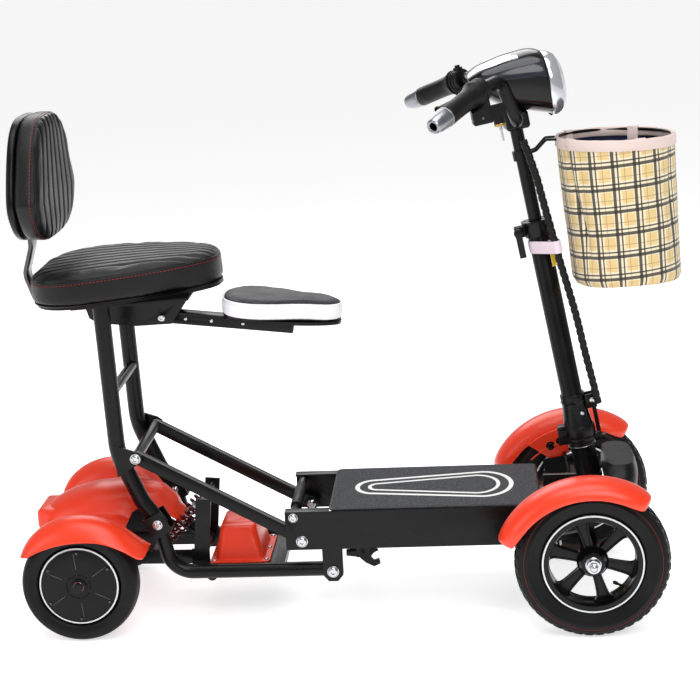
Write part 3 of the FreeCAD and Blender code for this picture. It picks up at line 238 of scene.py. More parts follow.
def glossy(name, color, rough, smudges, spread, wave, depth, strength=0.2, metal=0.0, round_edges=False,
           **sockets):
    """Smooth shiny plastic: faint smudges in its roughness and a slow wave in its height."""
    made = Shader(name, color, rough, metal, **sockets)
    if round_edges:
        made.edges(0.001)
    made.vary_rough(made.noise(smudges), spread)
    return made.bump(made.noise(wave, 1), depth, strength)


def red_moulding():
    made = Shader("body_red", srgb(236, 56, 20), 0.34, Coat_Weight=0.12, Coat_Roughness=0.25)
    made.edges(0.0012, srgb(240, 100, 74), 0.35)
    made.vary_rough(made.noise(14, 4), 0.05)
    return made.bump(made.noise(420, 2), 0.00005, 0.4)


def grip_tape():
    """Coarse grit, its grains pale and dark in patches."""
    made = Shader("grip_tape", srgb(58, 59, 62), 0.85, Specular_IOR_Level=0.3)
    speckle = made.ramp(made.noise(560, 3), 0.42, 0.64)
    made.feed(made.main.inputs["Base Color"], made.blend(speckle, srgb(26, 26, 29), srgb(96, 98, 102)))
    return made.bump(made.cells(430), 0.0007, 0.8)


def lenses():
    """The clear front with its moulded rays, and the red tail light."""
    clear = Shader("lens_clear", srgb(236, 238, 242), 0.07, Coat_Weight=1.0, Coat_Roughness=0.03)
    rays = clear.noise(1.0, 2, clear.stretched(20, 260, 20))
    clear.feed(clear.main.inputs["Base Color"], clear.blend(rays, srgb(150, 154, 162), srgb(248, 249, 252)))
    tail = Shader("lens_red", srgb(118, 22, 26), 0.14, Coat_Weight=1.0, Coat_Roughness=0.05)
    tail.vary_rough(tail.noise(40), 0.04)
    return clear.bump(clear.cells(180, "SMOOTH_F1"), 0.0006, 0.4), tail.bump(tail.cells(260), 0.0005, 0.5)


def make_materials():
    made = [
        powder_coat("frame_black", srgb(9, 9, 10), 0.3, srgb(40, 40, 42)),
        powder_coat("rim_black", srgb(10, 10, 11), 0.26, srgb(44, 44, 46)),
        red_moulding(),
        grip_tape(),
        *lenses(),
        plain_metal("chrome", srgb(196, 198, 202), 0.16, (90, 90, 90)),
        plain_metal("steel", srgb(150, 150, 154), 0.3),
        plain_metal("dark_steel", srgb(96, 94, 94), 0.2),
        plain_metal("spring_steel", srgb(84, 22, 22), 0.3),
        plain_metal("brass", srgb(196, 158, 92), 0.24, (300, 300, 300)),
        plain_metal("aluminium_cap", srgb(150, 152, 158), 0.3, (60, 60, 60)),
        rubber("tyre_black", srgb(12, 12, 13), 0.45),
        rubber("grip_rubber", srgb(14, 14, 15), 0.42),
        rubber("cable_black", srgb(20, 20, 21), 0.42),
        rubber("red_thread", srgb(150, 30, 34), 0.6),
        rubber("strap_pink", srgb(226, 208, 218), 0.7),
        rubber("navy", srgb(30, 32, 62), 0.8),
        moulded("hub_black", srgb(10, 10, 11), 0.36, Specular_IOR_Level=0.2),
        moulded("plastic_black", srgb(10, 10, 11), 0.38, Specular_IOR_Level=0.22),
        moulded("white_paint", srgb(234, 234, 232), 0.5),
        moulded("pinstripe", srgb(222, 224, 226), 0.35),
        moulded("tag_yellow", srgb(236, 200, 22), 0.45),
        glossy("head_gloss", srgb(6, 6, 8), 0.16, 20, 0.03, 12, 0.0002, round_edges=True, Specular_IOR_Level=0.3),
        glossy("head_panel", srgb(36, 37, 45), 0.14, 26, 0.03, 14, 0.0002, Specular_IOR_Level=0.5),
        glossy("head_screen", srgb(30, 34, 42), 0.08, 40, 0.02, 10, 0.0001, Coat_Weight=1.0, Coat_Roughness=0.03),
        glossy("head_silver", srgb(206, 208, 214), 0.16, 30, 0.03, 500, 0.00002, 0.3, 0.75, Coat_Weight=0.6,
               Coat_Roughness=0.06),
        vinyl("seat_vinyl", srgb(10, 10, 12), 0.36),
        vinyl("child_vinyl", srgb(34, 34, 37), 0.5),
        vinyl("white_vinyl", srgb(232, 231, 236), 0.42),
        plaid(),
        woven("basket_trim", srgb(222, 203, 196)),
    ]
    return {maker.name: maker.material for maker in made}


def weave_height(shader, around, up, count):
    """Crossing threads, one thread over and one under."""
    waves = [shader.math("SINE", shader.math("MULTIPLY", value, count)) for value in (around, up)]
    return shader.ramp(shader.math("MULTIPLY", *waves), -1, 1)


def woven(name, color):
    made = Shader(name, color, 0.8, Sheen_Weight=0.25)
    x, y, z = made.parts()
    around = made.math("ARCTAN2", y, made.math("SUBTRACT", x, BAG_X / 1000))
    height = weave_height(made, made.math("MULTIPLY", around, BAG_RADIUS / 1000), z, 3600)
    shade = made.ramp(height, 0, 1, 0, 0.25)
    made.feed(made.main.inputs["Base Color"], made.blend(shade, color, srgb(188, 166, 160)))
    return made.bump(height, 0.0003, 0.7)


def plaid():
    """Checked cotton: a broad and a narrow charcoal stripe on sand and a thin brown line, in both directions."""
    made = Shader("basket_cloth", srgb(228, 208, 160), 0.82, Sheen_Weight=0.2)
    x, y, z = made.parts()
    forward = made.math("SUBTRACT", x, 0.456)
    around = made.math("MULTIPLY", made.math("ARCTAN2", y, forward), BAG_RADIUS / 1000)
    lean = made.math("MULTIPLY", made.math("SUBTRACT", z, BAG_TOP / 1000), 0.06)
    level = made.math("SUBTRACT", z, made.math("MULTIPLY", forward, 0.09))
    stripes = []
    for value, pitch in ((made.math("ADD", around, lean), 0.0362), (level, 0.0372)):
        local = made.math("MULTIPLY", made.math("FRACT", made.math("DIVIDE", value, pitch)), pitch)

        def line(centre, half):
            gap = made.math("ABSOLUTE", made.math("SUBTRACT", local, centre))
            return made.ramp(gap, half + 0.0003, half - 0.0003)

        dark = made.math("MAXIMUM", line(0.0085, 0.0027), line(0.0163, 0.0013))
        stripes.append((dark, line(0.0275, 0.0005), line(0.0125, 0.0085)))
    pale = made.math("MAXIMUM", stripes[0][2], stripes[1][2])
    color = made.blend(made.math("MULTIPLY", pale, 0.7), srgb(224, 196, 136), srgb(240, 232, 210))
    thin = made.math("MAXIMUM", stripes[0][1], stripes[1][1])
    color = made.blend(made.math("MULTIPLY", thin, 0.7), color, srgb(150, 96, 62))
    dark = made.math("MAXIMUM", stripes[0][0], stripes[1][0])
    crossing = made.math("MULTIPLY", stripes[0][0], stripes[1][0])
    color = made.blend(made.math("MULTIPLY", dark, 0.92), color, srgb(24, 24, 26))
    color = made.blend(crossing, color, srgb(18, 18, 22))
    height = weave_height(made, around, z, 4200)
    shade = made.ramp(made.math("MULTIPLY", height, made.noise(420, 2)), 0, 0.6, 0.0, 0.12)
    made.feed(made.main.inputs["Base Color"], made.blend(shade, color, srgb(150, 134, 100)))
    return made.bump(height, 0.00035, 0.8)


MATERIALS = make_materials()


def finish_cad_nodes():
    """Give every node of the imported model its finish, by the slot that the record names."""
    slots = {sub_part["node"]: sub_part["material_slot"] for sub_part in frame["record"]["subparts"]}
    slots["horn_button"] = "plastic_black"    # a black cap, though its slot is the red of the mouldings
    for name, obj in frame["nodes"].items():
        finish = MATERIALS.get(slots.get(name), MATERIALS["frame_black"])
        obj.data.materials.clear()
        obj.data.materials.append(finish)


# ---------------------------------------------------------------- geometry helpers

def axes(direction):
    """Two unit vectors square to a direction."""
    d = Vector(direction).normalized()
    side = Vector((0, 0, 1)) if abs(d.z) < 0.9 else Vector((1, 0, 0))
    a = d.cross(side).normalized()
    return a, d.cross(a), d


class Build:
    """Collects geometry in millimetres, each part with its own material, and makes one object."""

    def __init__(self, place=WORLD):
        self.bm = bmesh.new()
        self.names = []
        self.place = place

    def index(self, material):
        if material not in self.names:
            self.names.append(material)
        return self.names.index(material)

    def faces(self, points, polygons, material):
        """Add polygons over points; a polygon that is there already is left out."""
        verts = [self.bm.verts.new(Vector(p)) for p in points]
        made = []
        for polygon in polygons:
            try:
                face = self.bm.faces.new([verts[i] for i in polygon])
            except ValueError:
                continue
            face.material_index = self.index(material)
            made.append(face)
        return made

    def grid(self, rows, material, closed=False, ring=False, caps=False):
        """A surface through rows of points; ring joins each row's ends, closed joins the last row to the first."""
        count, wide = len(rows), len(rows[0])
        points = [p for row in rows for p in row]
        polygons = []
        for i in range(count if closed else count - 1):
            for j in range(wide if ring else wide - 1):
                a, b = i * wide + j, i * wide + (j + 1) % wide
                c, d = ((i + 1) % count) * wide + (j + 1) % wide, ((i + 1) % count) * wide + j
                polygons.append((a, b, c, d))
        if caps:
            polygons.append(tuple(range(wide))[::-1])
            polygons.append(tuple((count - 1) * wide + j for j in range(wide)))
        return self.faces(points, polygons, material)

    def lathe(self, profile, material, at=(0, 0, 0), along=(0, 1, 0), steps=64):
        """Profile points are (radius, distance along the axis); bands may name their material as a third value."""
        a, b, d = axes(along)
        at = Vector(at)
        made = []
        for (r0, h0, *_), (r1, h1, *own) in zip(profile, profile[1:]):
            rows = []
            for i in range(steps):
                turn = 2 * math.pi * i / steps
                out = a * math.cos(turn) + b * math.sin(turn)
                rows.append([at + out * r0 + d * h0, at + out * r1 + d * h1])
            made += self.grid(rows, own[0] if own else material, closed=True)
        return made

    def box(self, low, high, material, bevel=0.0, turn=None):
        """A box between two corners, turned about its middle."""
        low, high = Vector(low), Vector(high)
        centre, half = (low + high) / 2, (high - low) / 2
        points = []
        for x, y, z in product((-1, 1), repeat=3):
            p = Vector((x * half.x, y * half.y, z * half.z))
            points.append(centre + (turn @ p if turn else p))
        polygons = [(0, 1, 3, 2), (4, 6, 7, 5), (0, 4, 5, 1), (2, 3, 7, 6), (0, 2, 6, 4), (1, 5, 7, 3)]
        made = self.faces(points, polygons, material)
        if bevel:
            self.bevel(made, bevel)
        return made

    def bevel(self, made, width, segments=3, sharpest=25):
        """Round the edges of some faces that turn by more than an angle in degrees."""
        self.bm.normal_update()
        limit = math.radians(sharpest)
        edges = dict.fromkeys(e for f in made for e in f.edges
                              if e.is_manifold and e.calc_face_angle(0) > limit)    # a set has no fixed order
        bmesh.ops.bevel(self.bm, geom=list(edges), offset=width, segments=segments, affect="EDGES",
                        profile=0.5, clamp_overlap=True)

    def prism(self, outline, start, end, material, bevel=0.0, axis="Y"):
        """A plate from an outline in the XZ plane (axis Y) or XY plane (axis Z)."""
        count = len(outline)
        points = []
        for level in (start, end):
            points += [(u, level, v) if axis == "Y" else (u, v, level) for u, v in outline]
        polygons = [tuple(range(count))[::-1], tuple(range(count, 2 * count))]
        polygons += [(i, (i + 1) % count, count + (i + 1) % count, count + i) for i in range(count)]
        made = self.faces(points, polygons, material)
        if bevel:
            self.bevel(made, bevel)
        return made

    def tube(self, points, radius, material, sides=12, closed=False):
        """A round bar along points; radius may be a list."""
        points = [Vector(p) for p in points]
        count = len(points)
        rows = []
        a = None
        for i, p in enumerate(points):
            before = points[(i - 1) % count] if closed or i else p
            after = points[(i + 1) % count] if closed or i < count - 1 else p
            d = (after - before).normalized()
            a = axes(d)[0] if a is None else (a - d * a.dot(d)).normalized()
            b = d.cross(a)
            r = radius[i] if isinstance(radius, (list, tuple)) else radius
            rows.append([p + (a * math.cos(t) + b * math.sin(t)) * r
                         for t in (2 * math.pi * k / sides for k in range(sides))])
        return self.grid(rows, material, closed=closed, ring=True, caps=not closed)

    def ball(self, at, radii, material, turn=None):
        """A small ellipsoid."""
        at = Vector(at)
        rows = []
        for i in range(7):
            h = math.pi * i / 6
            rows.append([])
            for k in range(8):
                t = math.pi * k / 4
                p = Vector((math.cos(h) * radii[0], math.sin(h) * math.cos(t) * radii[1],
                            math.sin(h) * math.sin(t) * radii[2]))
                rows[-1].append(at + (turn @ p if turn else p))
        return self.grid(rows, material, ring=True)

    def bolt(self, at, out, radius, height, material="chrome", socket=0.45, washer=0.0):
        """A domed bolt head with a socket, its underside at the point given."""
        profile = [(0, 0), (radius, 0), (radius, height * 0.45), (radius * 0.9, height * 0.75),
                   (radius * 0.72, height * 0.95), (radius * socket * 1.15, height),
                   (radius * socket, height * 0.97), (radius * socket * 0.96, height * 0.45), (0, height * 0.45)]
        self.lathe(profile, material, at, out, 24)
        if washer:
            self.lathe([(0, 0), (washer, 0), (washer, 0.9), (washer * 0.96, 1.2), (0, 1.2)], material, at, out, 28)

    def nut(self, at, out, radius, height, material="chrome"):
        """A hexagon nut with its corners turned off and a domed cap."""
        a, b, d = axes(out)
        at = Vector(at)
        rows = []
        for r, h in ((0.9, 0), (1, 0.12), (1, 0.6), (0.86, 0.72)):
            rows.append([at + (a * math.cos(k * math.pi / 3) + b * math.sin(k * math.pi / 3)) * radius * r
                         + d * height * h for k in range(6)])
        self.grid(rows, material, ring=True, caps=True)
        dome = [(radius * 0.74, height * 0.72), (radius * 0.7, height * 0.9), (radius * 0.5, height * 1.1),
                (radius * 0.22, height * 1.2), (0, height * 1.22)]
        self.lathe(dome, material, at, out, 24)

    def copy_of(self, node, material, bevel=0.0, sharpest=30):
        """The mesh of a CAD node, its seams closed and its sharp edges rounded."""
        source = bmesh.new()
        source.from_mesh(frame["nodes"][node].data)
        bmesh.ops.scale(source, vec=(1000, 1000, 1000), verts=source.verts)
        bmesh.ops.remove_doubles(source, verts=source.verts, dist=0.01)
        bmesh.ops.dissolve_limit(source, angle_limit=math.radians(1.0), verts=source.verts, edges=source.edges)
        points = [v.co.copy() for v in source.verts]
        source.verts.index_update()
        polygons = [tuple(v.index for v in f.verts) for f in source.faces]
        source.free()
        made = self.faces(points, polygons, material)
        if bevel:
            self.bevel(made, bevel, 2, sharpest)
        return made

    def finish(self, name, body, slot, replaces=(), smooth=38, thick=0.0):
        """Turn what was collected into an object that rides on a body and stands for the nodes given."""
        bmesh.ops.remove_doubles(self.bm, verts=self.bm.verts, dist=0.004)
        bmesh.ops.recalc_face_normals(self.bm, faces=self.bm.faces)
        self.bm.transform(Matrix.Scale(0.001, 4))
        self.bm.transform(self.place)
        mesh = bpy.data.meshes.new(name)
        self.bm.to_mesh(mesh)
        self.bm.free()
        for material in self.names:
            mesh.materials.append(MATERIALS[material])
        mesh.shade_smooth()
        mesh.set_sharp_from_angle(angle=math.radians(smooth))
        obj = bpy.data.objects.new(name, mesh)
        bpy.context.scene.collection.objects.link(obj)
        if thick:
            shell = obj.modifiers.new("Thickness", "SOLIDIFY")
            shell.thickness, shell.offset = thick * 0.001, -1
        return settle(obj, body, replaces)


def settle(obj, body, replaces=()):
    """Say which body a piece rides and which nodes it stands for."""
    if body:
        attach(obj, body)
    if replaces:
        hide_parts(*replaces)
    return obj


def apply_modifiers(obj):
    """Keep what an object's modifiers make of it as its mesh."""
    graph = bpy.context.evaluated_depsgraph_get()
    graph.update()
    mesh = bpy.data.meshes.new_from_object(obj.evaluated_get(graph))
    obj.modifiers.clear()
    obj.data = mesh
    return obj


def smooth_line(points, per_run):
    """A curve through points (Catmull-Rom)."""
    points = [Vector(p) for p in points]
    out = []
    for i in range(len(points) - 1):
        p0, p1, p2, p3 = points[max(i - 1, 0)], points[i], points[i + 1], points[min(i + 2, len(points) - 1)]
        for k in range(per_run):
            t = k / per_run
            out.append(0.5 * ((2 * p1) + (p2 - p0) * t + (2 * p0 - 5 * p1 + 4 * p2 - p3) * t * t
                              + (3 * p1 - p0 - 3 * p2 + p3) * t ** 3))
    return out + [points[-1]]


def power(value, exponent):
    return math.copysign(abs(value) ** exponent, value)


def smax(a, b, soft):
    """The larger of two values, with a soft crease where they meet."""
    h = max(soft - abs(a - b), 0) / soft
    return max(a, b) + h * h * soft / 4


def smoothstep(low, high, value):
    t = min(1, max(0, (value - low) / (high - low)))
    return t * t * (3 - 2 * t)


# ---------------------------------------------------------------- studio

def look_along(eye, yaw, pitch, roll):
    """The place of a camera at a point that looks along +Y, turned by three angles in radians."""
    forward = Vector((math.sin(yaw) * math.cos(pitch), math.cos(yaw) * math.cos(pitch), -math.sin(pitch)))
    level = Vector((math.cos(yaw), -math.sin(yaw), 0))
    upright = level.cross(forward)
    right = math.cos(roll) * level + math.sin(roll) * upright
    up = -math.sin(roll) * level + math.cos(roll) * upright
    turn = Matrix((right, up, -forward)).transposed().to_4x4()
    return Matrix.Translation(eye) @ turn


def make_studio():
    """A camera at the scooter's right, four soft lamps and a plain pale floor."""
    scene = bpy.context.scene
    camera = bpy.data.cameras.new("Camera")
    camera.lens, camera.sensor_width = 96.7, 36
    eye = bpy.data.objects.new("Camera", camera)
    eye.matrix_world = look_along((0.2129, -3.1155, 1.1697), -0.069, 0.229, -0.049)
    scene.collection.objects.link(eye)
    scene.camera = eye
    for name, at, size, watts in (
        ("Key", (0.9, -2.6, 2.6), 2.2, 52),
        ("Fill", (-2.6, -1.6, 1.6), 2.2, 20),
        ("Rim", (-0.4, 2.4, 2.2), 2.4, 34),
        ("Top", (0.0, -0.3, 3.2), 2.6, 50),
    ):
        light = bpy.data.lights.new(name, "AREA")
        light.shape, light.size, light.energy = "DISK", size, watts
        lamp = bpy.data.objects.new(name, light)
        lamp.location = at
        lamp.rotation_euler = (Vector((0, 0, 0.35)) - Vector(at)).to_track_quat("-Z", "Y").to_euler()
        scene.collection.objects.link(lamp)
    world = bpy.data.worlds.new("Studio")
    world.use_nodes = True
    world.node_tree.nodes["Background"].inputs["Color"].default_value = (1, 1, 1, 1)
    world.node_tree.nodes["Background"].inputs["Strength"].default_value = 0.34
    scene.world = world
    scene.view_settings.view_transform = "Standard"
    floor = Shader("floor", (0.86, 0.86, 0.86, 1), 0.7, Emission_Color=(1, 1, 1, 1), Emission_Strength=0.62)
    floor.vary_rough(floor.noise(3), 0.05)
    mesh = bpy.data.meshes.new("Floor")
    far = 60
    mesh.from_pydata([(-far, -far, 0), (far, -far, 0), (far, far, 0), (-far, far, 0)], [], [(0, 1, 2, 3)])
    mesh.materials.append(floor.material)
    ground = bpy.data.objects.new("Floor", mesh)
    scene.collection.objects.link(ground)


# ---------------------------------------------------------------- wheels

def tyre_shell(build, profile):
    """Both halves of a tyre from one half profile of (radius, half width), stripes on its first half's side."""
    whole = list(profile) + [(r, -y) for r, y, *_ in profile[::-1]]
    for i, (_, _, *own) in enumerate(profile):
        if own and i:
            whole[2 * len(profile) - i] = (*whole[2 * len(profile) - i][:2], *own)
    build.lathe(whole + [whole[0][:2]], "tyre_black", steps=120)


# Half a front tyre's section: (radius, half width), from the bead to the crown.
FRONT_TYRE = [(84, 20), (85.5, 22), (88, 23), (92, 24.2), (96, 26), (100, 27.6), (103.6, 28.3), (104.4, 29),
              (106.2, 29), (107.2, 28.2), (111.8, 26.8), (112.2, 26.7, "red_thread"), (116, 25.2), (119.4, 23),
              (121.8, 20.4), (123.2, 17), (124, 12), (124.4, 6), (124.6, 0)]


def front_tread(build):
    """Slanted blocks in the middle and knobs on both shoulders."""
    def crown(y):
        return 124.6 - 0.9 * (abs(y) / 14) ** 2 - 2.6 * smoothstep(13, 23, abs(y))

    def block(turn, start, end, lean, length, height):
        corners = []
        for lift, inset in ((-1.0, 0.0), (height, 0.05)):
            for along, across in ((-1, start), (1, start), (1, end), (-1, end)):
                y = start + (end - start) * (0.5 + (0.5 - inset) * (1 if across == end else -1))
                t = turn + (along * length * (1 - inset) / 2 + lean * (y - start)) / 124
                r = crown(y) + lift
                corners.append((math.cos(t) * r, y, math.sin(t) * r))
        build.faces(corners, [(0, 1, 2, 3), (7, 6, 5, 4), (0, 4, 5, 1), (1, 5, 6, 2), (2, 6, 7, 3), (3, 7, 4, 0)],
                    "tyre_black")

    count = 44
    for i in range(count):
        turn = 2 * math.pi * i / count
        for sign in (-1, 1):
            shift = 0.5 * math.pi / count if sign > 0 else 0
            block(turn + shift, sign * 1.2, sign * 12.5, sign * 0.75, 9.5, 2.2)
            block(turn + math.pi / count, sign * 15, sign * 22.6, sign * 0.25, 10.5, 2.0)


def make_front_wheel(side):
    """Tyre, six-spoke rim with its valve, and the knuckle's axle nut."""
    centre = on_side(FRONT_WHEEL, side)
    tyre = Build(centre)
    tyre_shell(tyre, FRONT_TYRE)
    front_tread(tyre)
    tyre.finish(side_name("tyre_front", side), side_name("front_wheel", side), "tyre_black",
                [side_name("front_tyre", side)], smooth=50)
    rim = Build(centre)
    rim.lathe([(70.5, -21), (72, -24.5), (76, -25.2), (80, -25), (80.4, -25, "pinstripe"),
               (82.6, -24.4, "pinstripe"), (83.9, -23.4), (83.9, 23.4), (82.6, 24.4), (80.4, 25, "pinstripe"),
               (80, 25), (76, 25.2), (72, 24.5), (70.5, 21), (70, 10), (71, 6), (71, -5), (70, -9), (70.5, -21)],
              "rim_black", steps=120)
    rim.lathe([(8.2, -25.8), (16, -25.8), (19, -24.6), (21, -20), (23, -12), (26, -9), (26, 9), (23, 12), (21, 20),
               (19, 24.6), (16, 25.8), (8.2, 25.8), (8.2, -25.8)], "rim_black", steps=64)
    for i in range(6):
        make_spoke(rim, math.radians(45 + 60 * i))
    turn = math.radians(-44)
    line = smooth_line([(math.cos(turn) * r, side * y, math.sin(turn) * r) for r, y in
                        ((70.6, 2), (64, 4), (58, 9), (52, 15))], 5)
    rim.tube(line, 2.3, "brass", 12)
    rim.tube([line[-1], line[-1] + (line[-1] - line[-2]).normalized() * 8], 3.1, "cable_black", 12)
    rim.finish(side_name("rim_front", side), side_name("front_wheel", side), "rim_black",
               [side_name("front_rim", side)])
    nut = Build(centre)
    nut.lathe([(8.4, 25.9), (13, 25.9), (13.4, 26.6), (13, 27.6), (11.4, 28.4), (11.4, 38.3), (10.8, 38.9),
               (0, 39)], "chrome", (0, 0, 0), (0, side, 0), 40)
    nut.nut((0, side * 38.8, 0), (0, side, 0), 8.4, 7)
    nut.finish(side_name("axle_nut_front", side), side_name("knuckle", side), "chrome")


def make_spoke(rim, angle):
    """A broad flat spoke, flared where it meets the rim, its face sunk inside a raised edge."""
    stations = ((19, 8.6), (24, 7.2), (34, 7.6), (46, 8.6), (56, 9.7), (62, 10.8), (66, 13.2), (69.5, 18.5),
                (71.5, 19.5))

    def at(r, w, y):
        return (math.cos(angle) * r - math.sin(angle) * w, y, math.sin(angle) * r + math.cos(angle) * w)
    rows = []
    for r, half in stations:
        edge = 8.4 - 2.2 * (r - 19) / 52
        lip = min(2.6, half * 0.35)
        corner = [(half, edge - 0.8), (half - 0.8, edge), (half - lip, edge), (half - lip - 1.2, edge - 2.4)]
        face = corner + [(-w, y) for w, y in corner[::-1]]
        ring = [(half, 0.8 - edge)] + face + [(w, -y) for w, y in face[:0:-1]]
        rows.append([at(r, w, y) for w, y in ring])
    rim.grid(rows, "rim_black", ring=True, caps=True)


def make_rear_wheel(side):
    """Grooved tyre and the hub motor's disc with its bosses, lines and turned cap."""
    centre = on_side(REAR_WHEEL, side)
    body = side_name("rear_wheel", side)
    section = [(69, 15), (70.5, 20), (73, 22.2), (77, 23.8), (81, 24.7), (84, 24.8), (87, 24.2), (89.6, 22.6),
               (91.6, 22.4), (93.8, 20.4), (95.8, 17.2), (97.2, 13), (97.9, 9), (98, 8.6), (96.9, 8.2),
               (96.9, 7.2), (98.1, 6.8), (98.3, 3.2), (97.2, 2.9), (97.2, 1.9), (98.4, 1.6), (98.4, 0)]
    tyre = Build(centre)
    tyre_shell(tyre, section)
    tyre.finish(side_name("tyre_rear", side), body, "tyre_black", [side_name("rear_tyre", side)], smooth=50)
    hub = Build(centre)
    face = [(8.2, -20.8), (40, -20.8), (59, -20.8), (64, -19.6), (68.9, -16.5), (68.9, 16.8), (67.6, 19.2),
            (66.4, 20.2), (65.9, 20.5, "pinstripe"), (63.9, 21, "pinstripe"), (63, 21.2), (61.6, 20.6), (58, 21.6),
            (40, 22.4), (26, 22.8), (21, 22.9), (20.6, 21.9), (19.6, 21.9), (19.2, 23), (8.2, 23)]
    hub.lathe([(r, side * y, *own) for r, y, *own in face] + [(8.2, side * -20.8)], "hub_black", steps=110)
    for i in range(6):
        turn = Matrix.Rotation(-math.radians(90 + 60 * i), 3, "Y")
        at = turn @ Vector((57.5, 0, 0))
        low, high = Vector((-3.6, side * 21 - 1.2, -3.6)), Vector((3.6, side * 21 + 1.6, 3.6))
        hub.box(at + low, at + high, "hub_black", 0.9, turn)
        hub.bolt(at + Vector((0, side * 22.5, 0)), (0, side, 0), 1.9, 0.9, "dark_steel")
    for i in range(6):
        turn = Matrix.Rotation(-math.radians(95 + 60 * i), 3, "Y")
        at = turn @ Vector((38, side * 22.3, 0))
        hub.box(at - Vector((19, 0.4, 0.3)), at + Vector((19, 0.4, 0.3)), "dark_steel", 0, turn)
    cap = [(0, 23), (12.5, 23), (13.6, 23.6), (13.4, 25), (11, 26.2), (6, 26.7), (0, 26.8)]
    hub.lathe([(r, side * y) for r, y in cap], "hub_black", steps=48)
    hub.lathe([(7.4, side * 26.5), (8.2, side * 27.1), (9, side * 26.4)], "lens_red", steps=48)
    hub.finish(side_name("hub_rear", side), body, "hub_black", [side_name("hub_motor", side)])


def make_wheels():
    for side in (RIGHT, LEFT):
        make_front_wheel(side)
        make_rear_wheel(side)


# ---------------------------------------------------------------- red mouldings

def guard_rows(centre, lip, crown, half, mid, start, end):
    """Rows of points over a mudguard of lip and crown radius round a centre (x, z), from one angle to another.

    Both ends and the lips are rounded off.
    """
    count, rows = 46, []
    for i in range(count + 1):
        along = i / count
        angle = math.radians(start + (end - start) * along)
        near_end = min(along, 1 - along) * count / 7
        narrow = math.sqrt(max(0.0, 1 - (1 - min(1, near_end)) ** 2))
        width = half * (0.62 + 0.38 * narrow)
        height = (crown - lip) * (0.78 + 0.22 * narrow)
        row = []
        for k in range(27):
            t = math.pi * k / 26
            r = lip + height * max(0, math.sin(t)) ** 0.86 + (crown - lip) * 0.10 * (1 - narrow)
            y = mid - width * power(math.cos(t), 0.94)
            row.append((centre[0] + r * math.cos(angle), y, centre[1] + r * math.sin(angle)))
        rows.append(row)
    return rows


def make_front_fender(side):
    """Mudguard and the panel that carries it, with a stiffening ridge and two bolts."""
    guard = Build()
    arc_x, arc_z = 388, 102
    guard.grid(guard_rows((arc_x, arc_z), lip=140, crown=168, half=40, mid=side * 214, start=54, end=156),
               "body_red")
    body = side_name("knuckle", side)
    obj = guard.finish(side_name("mudguard_front", side), body, "body_red",
                       [side_name("front_fender", side)], thick=3.2)
    soften(obj, 1.1)
    panel = Build()
    outline = [(300, 216), (316, 228), (334, 238), (352, 244), (371, 246), (374, 226), (372, 204), (365, 190),
               (356, 180), (346, 184), (322, 201)]
    low, high = sorted((side * 163.3, side * 166.6))
    panel.prism(outline, low, high, "body_red", 1.1)
    rows = []
    for i in range(13):
        t = math.radians(97 + 2.5 * i)
        rows.append([(arc_x + r * math.cos(t), side * y, arc_z + r * math.sin(t))
                     for r, y in ((137, 163.6), (142.4, 163.6), (142.4, 177), (137, 177))])
    panel.grid(rows, "body_red", ring=True, caps=True)
    ridge = [(arc_x + 120 * math.cos(math.radians(a)), side * 163.2, arc_z + 120 * math.sin(math.radians(a)))
             for a in range(98, 137, 3)]
    panel.tube(ridge, 1.3, "body_red", 8)
    for x, z in ((340, 214), (358, 222)):
        panel.bolt((x, side * 163.4, z), (0, -side, 0), 5.5, 3.4, "frame_black", 0.4, 8)
    panel.finish(side_name("mudguard_panel", side), body, "body_red")


def soften(obj, width):
    """Round an object's sharp edges, by a width in millimetres."""
    rounder = obj.modifiers.new("Edges", "BEVEL")
    rounder.width, rounder.segments = width * 0.001, 2
    rounder.limit_method, rounder.angle_limit = "ANGLE", math.radians(40)
    return obj


# The rear moulding is drawn round an axis, in degrees and millimetres: where the axis is (x, z), the middle of
# each mudguard and half its width, and the angles at which the mudguards start and end.
MOULDING_AXIS, GUARD_Y, GUARD_HALF, GUARD_START, GUARD_END = (-441, 1), 172, 42, 57, 126
HUMP_RIDGE = [(46, 206), (52, 217), (58, 228), (65, 234), (74, 231), (90, 221), (104, 216), (114, 213), (122, 206),
              (128, 196)]


def ridge_height(angle):
    """Height of the middle hump along its ridge."""
    ridge = HUMP_RIDGE[0][1]
    for (a0, r0), (a1, r1) in zip(HUMP_RIDGE, HUMP_RIDGE[1:]):
        if angle >= a0:
            ridge = r0 + (r1 - r0) * smoothstep(a0, a1, angle)
    return ridge


def rear_height(angle, y):
    """Distance of the rear moulding's surface from its axis."""
    side = abs(y)
    across = max(-1, min(1, (side - GUARD_Y) / GUARD_HALF))
    near_end = min(1, max(0, min(angle - GUARD_START, GUARD_END - angle) / 8))
    droop = 5 * (1 - math.sqrt(max(0, 1 - (1 - near_end) ** 2)))
    edge = 166 + 0.42 * (angle - 90)
    toward = 98 * math.sin(math.radians(angle)) - 16 * math.cos(math.radians(angle))
    crown = toward + math.sqrt(toward ** 2 + 3600) - droop
    guard = edge + (crown - edge) * max(0, 1 - across ** 2) ** 0.46
    wide = 64 - 12 * smoothstep(80, 50, angle) - 6 * smoothstep(108, 126, angle)
    valley = 179 - 4 * smoothstep(84, 66, angle)
    share = max(0, 1 - (side / wide) ** 2.3) ** 0.5
    hump = valley - 12 + (ridge_height(angle) - valley + 12) * share
    base = smax(hump, valley, 16)
    return smax(base, guard, 20) if side > 96 else smax(base, edge, 10)


